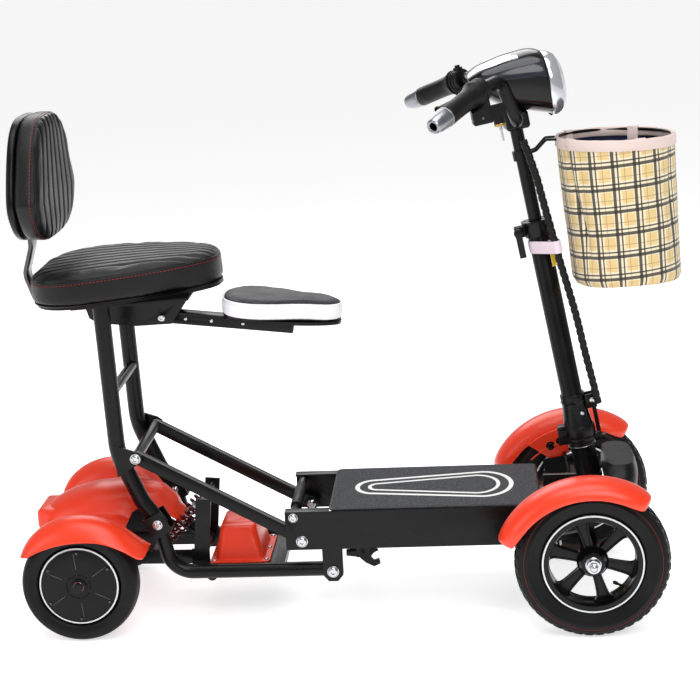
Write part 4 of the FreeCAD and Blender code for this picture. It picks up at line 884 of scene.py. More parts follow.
def make_rear_moulding():
    """Two mudguards, the middle hump and the creased valleys between them as one skin."""
    half = {round(GUARD_Y - GUARD_HALF * math.cos(math.pi * k / 16), 3) for k in range(17)}
    half |= {0, 10, 20, 29, 37, 44, 50, 55, 59, 63, 68, 76, 88, 100, 110, 118, 124}
    rows = []
    for y in sorted(half | {-v for v in half}):
        side = abs(y)
        first, last = GUARD_START, GUARD_END - 6 * smoothstep(128, 60, side)
        if side < 128:
            first = 47 + 27 * smoothstep(27, 62, side) - 10 * smoothstep(104, 128, side)
        corner = 3.6 * abs((GUARD_Y - side) / GUARD_HALF) ** 8 if side > 130 else 0
        row = []
        for i in range(53):
            angle = first + corner + (last - first - 2 * corner) * i / 52
            r, t = rear_height(angle, y), math.radians(angle)
            row.append((MOULDING_AXIS[0] + r * math.cos(t), y, MOULDING_AXIS[1] + r * math.sin(t)))
        rows.append(row)
    skin = Build()
    skin.grid(rows, "body_red")
    obj = skin.finish("rear_moulding", "lower_frame", "body_red", ["rear_body"], thick=3.2, smooth=60)
    soften(obj, 1.0)
    tail = Build()
    tail.box((-557, -46, 150), (-512, 46, 186), "body_red", 7)
    tail.box((-553, -40, 146), (-520, 40, 152), "body_red", 2)
    tail.finish("tail_box", "lower_frame", "body_red")
    lens = Build()
    lens.box((-558.3, -31, 153), (-550, 31, 173), "lens_red", 3)
    lens.finish("tail_light", "lower_frame", "lens_red", ["tail_lens"])


def make_controller():
    """Lid over the controller: a flange with six screws and a tapered top."""
    cover = Build()
    cover.prism(rounded_outline((-257, -71), (-153, 71), 9), 88.4, 92, "body_red", 1.0, "Z")
    low = rounded_outline((-249, -61), (-163, 61), 13)
    high = rounded_outline((-238, -49), (-179, 49), 12)
    rows = []
    for t, lift in ((0, 91), (0.03, 93), (0.1, 96), (0.86, 143), (0.94, 147), (1.0, 149)):
        inset = 1 - (0.035 if lift > 146 else 0) - (0.07 if lift > 148 else 0)
        rows.append([((a + (b - a) * t) * inset - 208 * (1 - inset), (c + (d - c) * t) * inset, lift)
                     for (a, c), (b, d) in zip(low, high)])
    cover.grid(rows, "body_red", ring=True, caps=True)
    cover.box((-232, -30, 147.5), (-186, 30, 150.2), "body_red", 1.2)
    for x in (-250, -160):
        for y in (-62, 0, 62):
            cover.bolt((x, y, 91.8), (0, 0, 1), 4, 2.6)
    cover.finish("controller_lid", "lower_frame", "body_red", ["controller_cover"], smooth=40)


def rounded_outline(low, high, radius, count=6):
    """Plan of a rectangle with round corners."""
    points = []
    for cx, cy, start in ((high[0] - radius, high[1] - radius, 0), (low[0] + radius, high[1] - radius, 90),
                          (low[0] + radius, low[1] + radius, 180), (high[0] - radius, low[1] + radius, 270)):
        for i in range(count + 1):
            t = math.radians(start + 90 * i / count)
            points.append((cx + radius * math.cos(t), cy + radius * math.sin(t)))
    return points


def make_mouldings():
    for side in (RIGHT, LEFT):
        make_front_fender(side)
    make_rear_moulding()
    make_controller()


# ---------------------------------------------------------------- cushions

def cushion_mesh(name, outline, centre, profile):
    """A closed form from a plan outline and rows of (share of the outline, height), in its own place."""
    build = Build()
    rows = [[(centre[0] + (u - centre[0]) * share, centre[1] + (v - centre[1]) * share, height)
             for u, v in outline] for share, height in profile]
    build.grid(rows, "seat_vinyl", ring=True, caps=True)
    bm = build.bm
    bmesh.ops.triangulate(bm, faces=[f for f in bm.faces if len(f.verts) > 4])
    bmesh.ops.recalc_face_normals(bm, faces=bm.faces)
    bm.transform(Matrix.Scale(0.001, 4))
    mesh = bpy.data.meshes.new(name)
    bm.to_mesh(mesh)
    bm.free()
    obj = bpy.data.objects.new(name, mesh)
    bpy.context.scene.collection.objects.link(obj)
    return obj


def inflate(obj, cap, voxel=0.005):
    """Blow the form up as cloth, keep each point within the cap, and smooth it once."""
    remesh = obj.modifiers.new("Even", "REMESH")
    remesh.mode, remesh.voxel_size = "VOXEL", voxel
    apply_modifiers(obj)
    rest = [v.co.copy() for v in obj.data.vertices]
    cloth = obj.modifiers.new("Cloth", "CLOTH")
    cloth.settings.use_pressure = True
    cloth.settings.uniform_pressure_force = 4
    cloth.settings.effector_weights.gravity = 0
    cloth.settings.quality = 5
    frames = 20
    cloth.point_cache.frame_start, cloth.point_cache.frame_end = 1, frames
    for step in range(1, frames + 1):
        bpy.context.scene.frame_set(step)
    apply_modifiers(obj)
    bpy.context.scene.frame_set(1)
    for vertex, start in zip(obj.data.vertices, rest):
        move = vertex.co - start
        if move.length > cap:
            vertex.co = start + move * (cap / move.length)
    finer = obj.modifiers.new("Finer", "SUBSURF")
    finer.levels = finer.render_levels = 1
    apply_modifiers(obj)


def sew(obj, shape):
    """Move each point of a cushion by what shape says (place in millimetres, normal) -> new place."""
    normals = [v.normal.copy() for v in obj.data.vertices]
    for vertex, normal in zip(obj.data.vertices, normals):
        vertex.co = Vector(shape(vertex.co * 1000, normal)) * 0.001
    obj.data.update()


def trim_line(obj, outline, centre, height, push):
    """Where a line round a cushion meets its side, in millimetres, with the way out at each point.

    Height is a function of the plan's length; push is how far the line stands off the side.
    """
    grow = 1.25
    tree = BVHTree.FromPolygons([v.co for v in obj.data.vertices], [p.vertices for p in obj.data.polygons])
    line = []
    for u, v in outline:
        level = height(u)
        start = Vector((centre[0] + (u - centre[0]) * grow, centre[1] + (v - centre[1]) * grow, level))
        aim = Vector((*centre, level)) - start
        hit, normal, _, _ = tree.ray_cast(start * 0.001, aim.normalized())
        if hit is not None:
            line.append((hit * 1000 + normal * push, normal))
    return line


def add_stitches(build, line, step, length, radius, material):
    """Short raised threads along a line of (point, normal)."""
    points = [p for p, _ in line] + [line[0][0]]
    normals = [n for _, n in line] + [line[0][1]]
    walked, due = 0.0, 0.0
    for i in range(len(points) - 1):
        run = points[i + 1] - points[i]
        while due < walked + run.length:
            at = points[i] + run * ((due - walked) / max(run.length, 1e-6))
            along, out = run.normalized(), normals[i]
            across = out.cross(along).normalized()
            turn = Matrix((along, across, along.cross(across))).transposed()
            build.ball(at, (length / 2, radius, radius), material, turn)
            due += step
        walked += run.length


def dress(obj, place, name, body, nodes, materials, choose=None):
    obj.data.transform(place)
    obj.data.materials.clear()
    for material in materials:
        obj.data.materials.append(MATERIALS[material])
    if choose:
        back = place.inverted()
        for polygon in obj.data.polygons:
            polygon.material_index = choose(back @ polygon.center * 1000)
    obj.data.shade_smooth()
    obj.name = name
    settle(obj, body, nodes)


def wide_outline(front, rear, half_front, half_rear, count=96):
    """Plan of the main seat, from its front end at zero back to its wide rear."""
    points = []
    for i in range(count):
        t = 2 * math.pi * i / count
        along = power(math.cos(t), 0.72)
        half = half_rear + (half_front - half_rear) * ((along + 1) / 2) ** 1.15
        points.append(((front + rear) / 2 + (front - rear) / 2 * along, half * power(math.sin(t), 0.72)))
    return points


def channel(distance, half, count, depth, width, edge):
    """Depth of the stitched channels at a distance from the middle, fading out at the cushion's edge (1)."""
    u = distance / half * count
    gap = abs(u - round(u)) / count * half
    return (depth * math.exp(-(gap / width) ** 2) - 1.2) * edge


def sewing_on(place, obj, stitched, piped, centre, height, drop):
    """A piping round a cushion at a height that depends on the plan's length, and red stitches under it."""
    sewing = Build(place)
    line = trim_line(obj, stitched, centre, lambda u: height(u) - drop, 0.1)
    piping = trim_line(obj, piped, centre, height, 0.2)
    add_stitches(sewing, line, 6.2, 4.2, 0.55, "red_thread")
    sewing.tube([p for p, _ in piping], 1.3, "seat_vinyl", 8, closed=True)
    return sewing


def make_main_seat():
    place = Matrix.Translation((-0.211, 0, 0.5754)) @ Matrix.Rotation(math.radians(-3), 4, "Y")
    centre = (-165, 0)
    seam_z, seam_drop = 42.5, 5.2
    profile = [(0.0, 0.5), (0.5, 0.5), (0.9, 0.5), (0.985, 0.8), (1.0, 3), (1.004, 14), (1.002, 30), (1.0, 40),
               (0.985, 46), (0.95, 49.6), (0.86, 51.6), (0.6, 52.6), (0.25, 53.4), (0.0, 53.6)]
    obj = cushion_mesh("seat", wide_outline(2, -322, 87, 174), centre, profile)
    inflate(obj, 0.004)

    def front_share(x):
        return max(0, min(1, (x + 319) / 318))

    def shape(p, n):
        half = 172 + (86 - 172) * front_share(p.x) ** 1.15
        edge = max(abs(p.y) / half, abs(p.x + 160) / 158)
        crown = 3.0 * (1 - min(1, ((p.x + 200) / 140) ** 2)) - 6.5 * (1 - front_share(p.x))
        seam = groove = 0
        if n.z > -0.2:
            seam = 1.3 * math.exp(-((p.z - seam_z) / 1.7) ** 2) * (1 - smoothstep(0.4, 0.9, n.z))
        if n.z > 0.35 and p.z > 40:
            fade = smoothstep(1.0, 0.93, edge) * smoothstep(0.35, 0.75, n.z)
            groove = channel(p.y, half, 5.2, 4.0, 3.4, fade)
        return (p.x - n.x * seam, p.y - n.y * seam, p.z + crown * smoothstep(15, 45, p.z) - n.z * groove)

    sew(obj, shape)
    stitched, piped = (wide_outline(-1, -319, 84, 171, count) for count in (220, 150))
    sewing = sewing_on(place, obj, stitched, piped, centre, lambda x: seam_z - seam_drop * (1 - front_share(x)), 3)
    low = wide_outline(-1, -321, 84, 171, 120)
    sewing.grid([[(u * k + centre[0] * (1 - k), v * k, z) for u, v in low]
                 for k, z in ((0.9, -2), (0.955, -2.2), (0.97, -1), (0.975, 0.6), (0.96, 1.4))],
                "plastic_black", ring=True)
    sewing.finish("seat_sewing", "seat_frame", "seat_vinyl")
    dress(obj, place, "seat_cushion", "seat_frame", ["seat_pad"], ["seat_vinyl"])


def back_half_width(rise):
    """Half the backrest's width, at a share of its height: widest low down, narrow at the top."""
    return 134 + 25 * rise / 0.35 if rise < 0.35 else 159 - 57 * (rise - 0.35) / 0.65


def back_outline(count=96):
    outline = []
    for i in range(count):
        t = 2 * math.pi * i / count
        rise = (power(math.sin(t), 0.6) + 1) / 2
        outline.append(((back_half_width(rise) + 3) * power(math.cos(t), 0.6), 657 + 212 * rise))
    return outline


def make_back_cushion():
    upright = Matrix(((0, 0, 1, 0), (1, 0, 0, 0), (0, 1, 0, 0), (0, 0, 0, 1)))
    place = Matrix.Translation((-0.5227, 0, 0)) @ upright
    outline = back_outline()
    centre = (0, 758)
    seam_z = 29.6    # of the piping
    profile = [(0.0, 0.3), (0.6, 0.3), (0.97, 0.3), (0.998, 2), (1.004, 12), (1.004, 26), (0.995, 32),
               (0.965, 35.2), (0.9, 36.2), (0.6, 36.8), (0.2, 37), (0.0, 37)]
    obj = cushion_mesh("back", outline, centre, profile)
    inflate(obj, 0.003)

    def shape(p, n):
        half = back_half_width(max(0, min(1, (p.y - 661) / 204)))
        edge = max(abs(p.x) / half, abs(p.y - 763) / 106)
        seam = math.exp(-((p.z - seam_z + 0.1) / 1.6) ** 2) if n.z > -0.2 else 0
        groove = 0.0
        if n.z > 0.3 and p.z > 30:
            fade = smoothstep(1.0, 0.92, edge) * smoothstep(0.3, 0.8, n.z)
            groove = channel(p.x, half, 4.3, 4.2, 3.6, fade)
        return (p.x - n.x * 1.2 * seam, p.y - n.y * 1.2 * seam, p.z - n.z * groove - 0.4 * seam)

    sew(obj, shape)
    ahead = outline[1:] + outline[:1]
    dense = [p for (a, b), (c, d) in zip(outline, ahead) for p in ((a, b), ((a + c) / 2, (b + d) / 2))]
    sewing = sewing_on(place, obj, dense, dense, centre, lambda x: seam_z, 3.1)
    sewing.finish("backrest_sewing", "seat_frame", "seat_vinyl")
    dress(obj, place, "backrest_cushion", "seat_frame", ["backrest_pad"], ["seat_vinyl"])


# Half the child seat's plan, from its rear end to its front end: (length, half width).
CHILD_STATIONS = [(-209, 0), (-207.5, 26), (-203, 43), (-194, 58), (-180, 69), (-162, 74.5), (-142, 74),
                  (-122, 69), (-102, 61), (-84, 53), (-66, 46.5), (-48, 42.5), (-34, 40), (-22, 36), (-12, 29),
                  (-5, 20), (-1.5, 10), (0, 0)]


def child_outline():
    half = smooth_line([(x, y, 0) for x, y in CHILD_STATIONS], 5)
    points = [(p.x, max(0, p.y)) for p in half]
    return points + [(x, -y) for x, y in points[-2:0:-1]]


def make_child_cushion():
    place = Matrix.Translation((-0.011, 0, 0.4963)) @ Matrix.Rotation(math.radians(6.2), 4, "Y")
    outline = child_outline()
    centre = (-120, 0)
    profile = [(0.0, 0.5), (0.6, 0.5), (0.96, 0.8), (0.99, 3), (1.0, 10), (1.0, 22), (0.985, 28), (0.95, 31),
               (0.85, 32.6), (0.5, 33.4), (0.2, 33.7), (0.0, 33.8)]
    obj = cushion_mesh("child", outline, centre, profile)
    inflate(obj, 0.003, 0.004)
    top_edge, low_edge = 28.0, 3.0

    def shape(p, n):
        seam = math.exp(-((p.z - top_edge) / 1.5) ** 2) + 0.8 * math.exp(-((p.z - low_edge) / 1.4) ** 2)
        wrinkle = 0.7 * noise.noise(Vector((p.x * 0.035, p.y * 0.035, 3.0))) if n.z > 0.5 else 0
        return (p.x - n.x * 0.9 * seam, p.y - n.y * 0.9 * seam, p.z + wrinkle)

    sew(obj, shape)
    sewing = Build(place)
    for height, radius, material, sides in ((top_edge, 1.8, "white_vinyl", 10),
                                            (low_edge, 1.5, "plastic_black", 8)):
        piping = trim_line(obj, outline, centre, lambda u: height, 0.5)
        sewing.tube([p for p, _ in piping], radius, material, sides, closed=True)
    add_stitches(sewing, trim_line(obj, outline, centre, lambda u: 24.2, 0.05), 5.0, 3.3, 0.4, "white_paint")
    sewing.finish("child_seat_piping", "child_seat", "child_vinyl")
    dress(obj, place, "child_seat_cushion", "child_seat", ["child_seat_pad"],
          ["child_vinyl", "white_vinyl", "plastic_black"],
          lambda p: 0 if p.z > top_edge else 1 if p.z > low_edge else 2)


def make_cushions():
    make_main_seat()
    make_back_cushion()
    make_child_cushion()


# ---------------------------------------------------------------- basket

def bag_point(turn, share, out=0.0):
    """A point of the cloth basket: turn round it, share from the rim (0) to the bottom edge (1)."""
    z = BAG_TOP - BAG_DEPTH * share
    radius = BAG_RADIUS - 7 * share
    x0 = BAG_X + 16 * share
    for at, lean, depth, width in ((-2.62, 0.42, 6.5, 0.05), (-2.2, -0.25, 3.0, 0.09), (-0.55, -0.12, 4.2, 0.06),
                                   (0.6, 0.2, 4.0, 0.07), (1.7, -0.3, 5.0, 0.06), (2.7, 0.2, 4.0, 0.08)):
        gap = (turn - at - lean * share + math.pi) % (2 * math.pi) - math.pi
        fade = math.sin(math.pi * min(1, share * 1.1 + 0.03)) ** 0.7
        radius -= depth * math.exp(-abs(gap / width) ** 1.3) * fade
    wave = noise.noise(Vector((math.cos(turn) * 1.6, math.sin(turn) * 1.6, share * 2.2)))
    radius += 3.0 * wave * math.sin(math.pi * min(1, share)) - 1.0
    radius -= 4 * smoothstep(0.95, 1.0, share) ** 2
    z -= 2.5 * math.sin(turn * 2 + 0.6) * share
    rounder = 1 / 1.1
    reach = radius + out
    return (x0 + reach * power(math.cos(turn), rounder), reach * power(math.sin(turn), rounder), z)


def make_basket():
    """The cloth bag with its navy lining, the bound rim and the five loops that hold it to the ring."""
    steps = 180
    turns = [-math.pi + 2 * math.pi * k / steps for k in range(steps)]
    rows = [[bag_point(t, i / 46) for t in turns] for i in range(47)]
    last = rows[-1]
    for k, drop in ((0.96, 2.0), (0.88, 2.6), (0.7, 2.2), (0.4, 1.0), (0.0, 0.2)):
        rows.append([(BAG_X + 16 + (x - BAG_X - 16) * k, y * k, z - drop) for x, y, z in last])
    bag = Build()
    bag.grid(rows, "basket_cloth", ring=True)
    bag.index("navy")
    obj = bag.finish("basket_bag", "stem", "basket_cloth", ["basket"], thick=2.4, smooth=70)
    obj.modifiers["Thickness"].material_offset = 1
    trim = Build()
    outer = []
    for out, share in ((1.4, 0.046), (2.0, 0.036), (2.1, 0.01), (1.8, -0.02), (0.2, -0.031), (-2.6, -0.031),
                       (-4.2, -0.02), (-4.4, 0.03), (-3.6, 0.034)):
        row = []
        for t in turns:
            x, y, z = bag_point(t, max(0, share), out)
            z = BAG_TOP - BAG_DEPTH * share + 0.9 * noise.noise(Vector((x * 0.05, y * 0.05, 0)))
            row.append((x, y, z))
        outer.append(row)
    trim.grid(outer, "basket_trim", ring=True)
    for t in (-2.5, -1.25, -0.1, 1.2, 2.45):
        x, y, z = bag_point(t, 0)
        inward = Vector((BAG_X - x, -y, 0)).normalized()
        along = inward.cross(Vector((0, 0, 1)))
        rows = []
        for s in (-9, -8, 8, 9):
            p = Vector((x, y, 0)) + along * s
            rows.append([p + inward * a + Vector((0, 0, b)) for a, b in
                         ((0.5, 780), (0.3, 793.4), (1.4, 794.6), (5.5, 794.4), (7, 793), (7.2, 772), (6.2, 772),
                          (6, 780))])
        trim.grid(rows, "basket_trim", ring=True, caps=True)
    hem = [(Vector(bag_point(t, 0.033, 2.2)), Vector((math.cos(t), math.sin(t), 0))) for t in turns]
    add_stitches(trim, hem, 5.0, 3.2, 0.4, "basket_trim")
    trim.finish("basket_rim", "stem", "basket_cloth", smooth=60)


# ---------------------------------------------------------------- deck

def teardrop(rear, front, inset):
    """Outline of an elongated drop: half ovals (middle, reach, half width) joined by straight sides."""
    points = []
    for (middle, reach, half), start in ((front, -90), (rear, 90)):
        for i in range(25):
            t = math.radians(start + 180 * i / 24)
            points.append((middle + (reach - inset) * math.cos(t), (half - inset) * math.sin(t)))
    return points


def make_deck():
    """Footplate with grip tape and its painted drops, the deck's shell and the carrying roller."""
    plate = Build()
    low, high = (-44, -118), (312.5, 118)
    rows = []
    for inset, z in ((2.4, 193.1), (0.6, 193.5), (0, 194.3), (0.5, 195.4), (1.6, 196), (3.2, 196), (3.3, 196.3),
                     (3.9, 196.7), (40, 196.7), (110, 196.7)):
        outline = rounded_outline((low[0] + inset, low[1] + inset), (high[0] - inset, high[1] - inset),
                                  max(1, 12 - inset))
        rows.append([(x, y, z) for x, y in outline])
    plate.grid(rows[:6], "frame_black", ring=True)
    plate.grid(rows[5:], "grip_tape", ring=True, caps=True)
    for rear, front, width in (((30, 35, 42), (215, 54, 74), 8), ((35, 18, 21), (205, 41, 54), 6.5)):
        outer, inner = teardrop(rear, front, 0), teardrop(rear, front, width)
        plate.grid([[(x, y, z) for x, y in line] for line, z in
                    ((outer, 196.6), (outer, 197.05), (inner, 197.05), (inner, 196.6))], "white_paint", ring=True)
    plate.finish("footplate_top", "chassis", "grip_tape", ["footplate"], smooth=30)
    copy_node("deck_box", "deck_shell", "chassis", 1.0)
    at = (-104, 0, 183)
    roller = Build()
    roller.lathe([(4.1, -58), (9, -58), (9.8, -56.5), (10, -54), (10, 54), (9.8, 56.5), (9, 58), (4.1, 58)],
                 "grip_rubber", at, (0, 1, 0), 40)
    for side in (RIGHT, LEFT):
        roller.lathe([(4.1, 58), (6.4, 58.6), (7, 60), (7, 111), (4.1, 112)], "frame_black", at, (0, side, 0), 32)
        roller.lathe([(0, 57), (4, 57), (4, 119), (0, 119)], "steel", at, (0, side, 0), 20)
        roller.bolt((at[0], side * 118.1, at[2]), (0, side, 0), 7, 4.8, washer=8)
    roller.finish("carry_roller", "chassis", "frame_black", ["carry_handle"])


def copy_node(node, name, body, bevel, material="frame_black", slot="frame_black", sharpest=34, smooth=32):
    """A CAD node as a piece of its own, with softened edges."""
    part = Build()
    part.copy_of(node, material, bevel, sharpest)
    return part.finish(name, body, slot, [node], smooth=smooth)


def make_bolts():
    """Pivot bolts of the deck and the kingpins, then those of the seat frame and of its lugs."""
    bolts = Build()
    for x, z, nut in ((-41, 86, 82), (-91, 141, 89)):    # the lower frame's pivot and the link bars' pivot
        for side in (RIGHT, LEFT):
            bolts.lathe([(0, 80), (5, 80), (5, 119), (0, 119)], "steel", (x, 0, z), (0, side, 0), 28)
            bolts.bolt((x, side * 118.1, z), (0, side, 0), 8.6, 5.4, "chrome", 0.42, 10)
            bolts.nut((x, side * nut, z), (0, -side, 0), 8.6, 6.2)
    for side in (RIGHT, LEFT):
        place = on_side(KINGPIN, side) @ RAKE
        base, top = place @ Vector((0, 0, 0.018)), place @ Vector((0, 0, 0.080))
        out = (top - base).normalized()
        bolts.lathe([(0, 0), (6, 0), (6, 64), (0, 64)], "steel", base * 1000, out, 28)
        bolts.bolt(top * 1000, out, 8.6, 4, "chrome", 0.4)
    bolts.finish("frame_bolts", "chassis", "chrome", ["pivot_bolts"])
    hinge = Build()
    seat_x, seat_z = -334, 177
    for side in (RIGHT, LEFT):
        hinge.lathe([(0, 78), (4, 78), (4, 119), (0, 119)], "steel", (seat_x, 0, seat_z), (0, side, 0), 24)
        hinge.bolt((seat_x, side * 118.4, seat_z), (0, side, 0), 6.8, 4.4, "chrome", 0.45, 8.4)
        hinge.nut((seat_x, side * 81.5, seat_z), (0, -side, 0), 7, 5)
    hinge.finish("seat_frame_bolts", "lower_frame", "chrome", ["seat_hinge_bolts"])
    lugs = Build()
    for side in (RIGHT, LEFT):
        lugs.bolt((-364, side * 115.4, 293), (0, side, 0), 7.4, 4.8, "chrome", 0.45, 9)
    lugs.finish("lug_bolts", "seat_frame", "chrome", ["link_lug_bolts"])


def make_springs():
    """Coil springs with their collars."""
    coils = Build()
    for side in (RIGHT, LEFT):
        foot, head = Vector((-337, side * 34, 120.8)), Vector((-276, side * 34, 181))
        a, b, d = axes(head - foot)
        length = (head - foot).length
        points = []
        for i in range(181):
            t = i / 180
            turn = 2 * math.pi * 7.5 * t
            r = 10.6 * (0.86 + 0.14 * min(1, 6 * t, 6 * (1 - t)))
            points.append(foot + d * (4 + (length - 8) * t) + (a * math.cos(turn) + b * math.sin(turn)) * r)
        coils.tube(points, 2.05, "spring_steel", 10)
        coils.lathe([(0, 1), (4.4, 1), (4.4, length * 0.55), (2.6, length * 0.56), (2.6, length - 1),
                     (0, length - 1)], "chrome", foot, d, 24)
        for start, way in ((foot, d), (head, -d)):
            coils.lathe([(0, -0.4), (9, -0.4), (12.4, 0.6), (12.8, 2), (12.4, 3.6), (8, 4.4), (4, 4.6)], "chrome",
                        start, way, 32)
    obj = coils.finish("shock_coils", None, "spring_steel")
    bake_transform(obj)
    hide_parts("shock_springs")


def make_frame():
    """The painted frame pieces, the backrest's bar and the child seat arm's rivets."""
    for node, name, body, bevel in (
        ("front_beam", "front_axle_beam", "chassis", 0.9),
        ("lower_frame", "rear_frame", "lower_frame", 0.7),
        ("swing_arm", "rear_axle_beam", "rear_suspension", 0.8),
        ("link_bars", "link_bar_pair", "link_bars", 0.9),
        ("seat_bracket", "seat_mount", "seat_frame", 0.6),
        ("child_seat_arm", "child_arm", "child_seat", 1.2),
        ("backrest_shell", "backrest_back", "seat_frame", 0.5),
    ):
        copy_node(node, name, body, bevel)
    copy_node("backrest_strap", "backrest_bar", "seat_frame", 0.9, "dark_steel", "steel", 40)
    rivets = Build()
    start, along = Vector((-330, 0, 515.4)), Vector((234, 0, -28)).normalized()
    for run in (52, 96, 150):
        for side in (RIGHT, LEFT):
            at = start + along * run
            rivets.bolt((at.x, side * 15, at.z), (0, side, 0), 3, 1.8, "chrome", 0.2)
    for side in (RIGHT, LEFT):
        rivets.bolt((-316, side * 36, 517), (0, side, 0), 6.6, 4, "chrome", 0.4)
    rivets.finish("child_arm_rivets", "child_seat", "chrome")


# ---------------------------------------------------------------- handlebar

def grip_axis(side):
    """The outer end of a grip, and the way along it toward the stem."""
    end, inner = Vector((-125, side * 212.7, 679.5)), Vector((-57, side * 130, 700))
    return end, (inner - end).normalized()


def make_grips():
    """Rubber grips with flared collars, and turned caps on their ends."""
    for side, body, name, node in ((RIGHT, "throttle_grip", "grip_throttle", "throttle_grip"),
                                   (LEFT, "stem", "grip_plain", "grip_left")):
        end, inward = grip_axis(side)
        grip = Build(BAR)
        grip.lathe([(11.1, 0.5), (15.4, 0.5), (16.2, 1.2), (16.5, 2.6), (16.2, 20), (16.1, 45), (16.4, 64),
                    (17, 73), (18.2, 79), (20.2, 84.4), (21.4, 86.6), (21.6, 88), (21, 89), (11.1, 89.2)],
                   "grip_rubber", end, inward, 64)
        grip.finish(name, body, "grip_rubber", [node], smooth=45)
    caps = Build(BAR)
    for side in (RIGHT, LEFT):
        end, inward = grip_axis(side)
        caps.lathe([(11, -0.2), (16.2, 0.2), (16.7, 1.2), (16.7, 3), (16.2, 3.6), (16.3, 8), (15.6, 18), (14, 29),
                    (12, 36.6), (11, 39), (9.6, 40.2), (8, 40.2), (6.6, 39.3), (6.1, 38), (6, 13, "plastic_black"),
                    (0, 12.6, "plastic_black")], "aluminium_cap", end, -inward, 64)
    caps.finish("grip_end_caps", "stem", "aluminium_cap", ["bar_end_caps"])


# Sections of the head's housing: place along the bars' frame, half width, lowest and highest point.
HEAD = [(-64, 38, 704, 713), (-62, 43, 701, 716), (-54, 51, 692, 721), (-40, 60, 674, 727), (-20, 64, 658, 731),
        (0, 66.5, 648, 734.5), (22, 68, 639, 736), (42, 68.5, 632, 736.4), (56, 67.5, 627, 733),
        (62, 66, 623, 729)]


def make_head():
    """Glossy housing with side panels, a silver rim round its sloping top, and a bright front."""
    housing = Build(BAR)
    count = 64
    rings = []
    for x, half, low, high in HEAD:
        mid, rise = (low + high) / 2, (high - low) / 2
        ring = []
        for k in range(count):
            t = 2 * math.pi * k / count
            u, v = power(math.cos(t), 0.72), power(math.sin(t), 0.72)
            ring.append(Vector((x, half * u * (1 + 0.05 * v), mid + rise * v)))
        rings.append(ring)
    fine = [smooth_line([ring[k] for ring in rings], 5) for k in range(count)]
    long = len(fine[0])

    def finish_of(i, k):
        """Finish of a face from its place along the head and its turn, in degrees up from either side."""
        turn = 360 * (k + 0.5) / count
        up, x = min(turn, 180 - turn), fine[0][i].x
        if x < 18 and 48 < up < 66:
            return "head_silver"
        if x < 12 and up >= 66:
            return "head_screen"
        return "head_panel" if -44 < x < 58 and 5 < up < 46 else "head_gloss"

    verts = [housing.bm.verts.new(fine[k][i]) for i in range(long) for k in range(count)]
    for i in range(long - 1):
        for k in range(count):
            here, ahead = i * count, (i + 1) * count
            quad = (here + k, here + (k + 1) % count, ahead + (k + 1) % count, ahead + k)
            face = housing.bm.faces.new([verts[j] for j in quad])
            face.material_index = housing.index(finish_of(i, k))
    for start, flip in ((0, True), (long - 1, False)):
        loop = [verts[start * count + k] for k in range(count)]
        face = housing.bm.faces.new(loop[::-1] if flip else loop)
        face.material_index = housing.index("head_gloss")
    panel_edges = [e for e in housing.bm.edges if len({f.material_index for f in e.link_faces}) == 2]
    bmesh.ops.bevel(housing.bm, geom=panel_edges, offset=0.7, segments=2, affect="EDGES", profile=0.2)
    housing.finish("head_housing", "stem", "head_gloss", ["head_unit"], smooth=50)
    front = Build(BAR)
    rows = []
    for x, scale in ((60, 1.055), (63, 1.075), (68, 1.07), (75, 1.02), (81.5, 0.93), (83, 0.86), (82, 0.83),
                     (86, 0.76), (89.4, 0.6), (90.8, 0.4), (91, 0.02)):
        rows.append([(x, 62 * scale * power(math.cos(t), 0.8), 674 + 50 * scale * power(math.sin(t), 0.8))
                     for t in (2 * math.pi * k / 72 for k in range(72))])
    silver_rows = 6
    front.grid(rows[:silver_rows], "head_silver", ring=True)
    front.grid(rows[silver_rows - 1:], "lens_clear", ring=True)
    front.finish("head_front", "stem", "lens_clear", ["head_lens"], smooth=50)


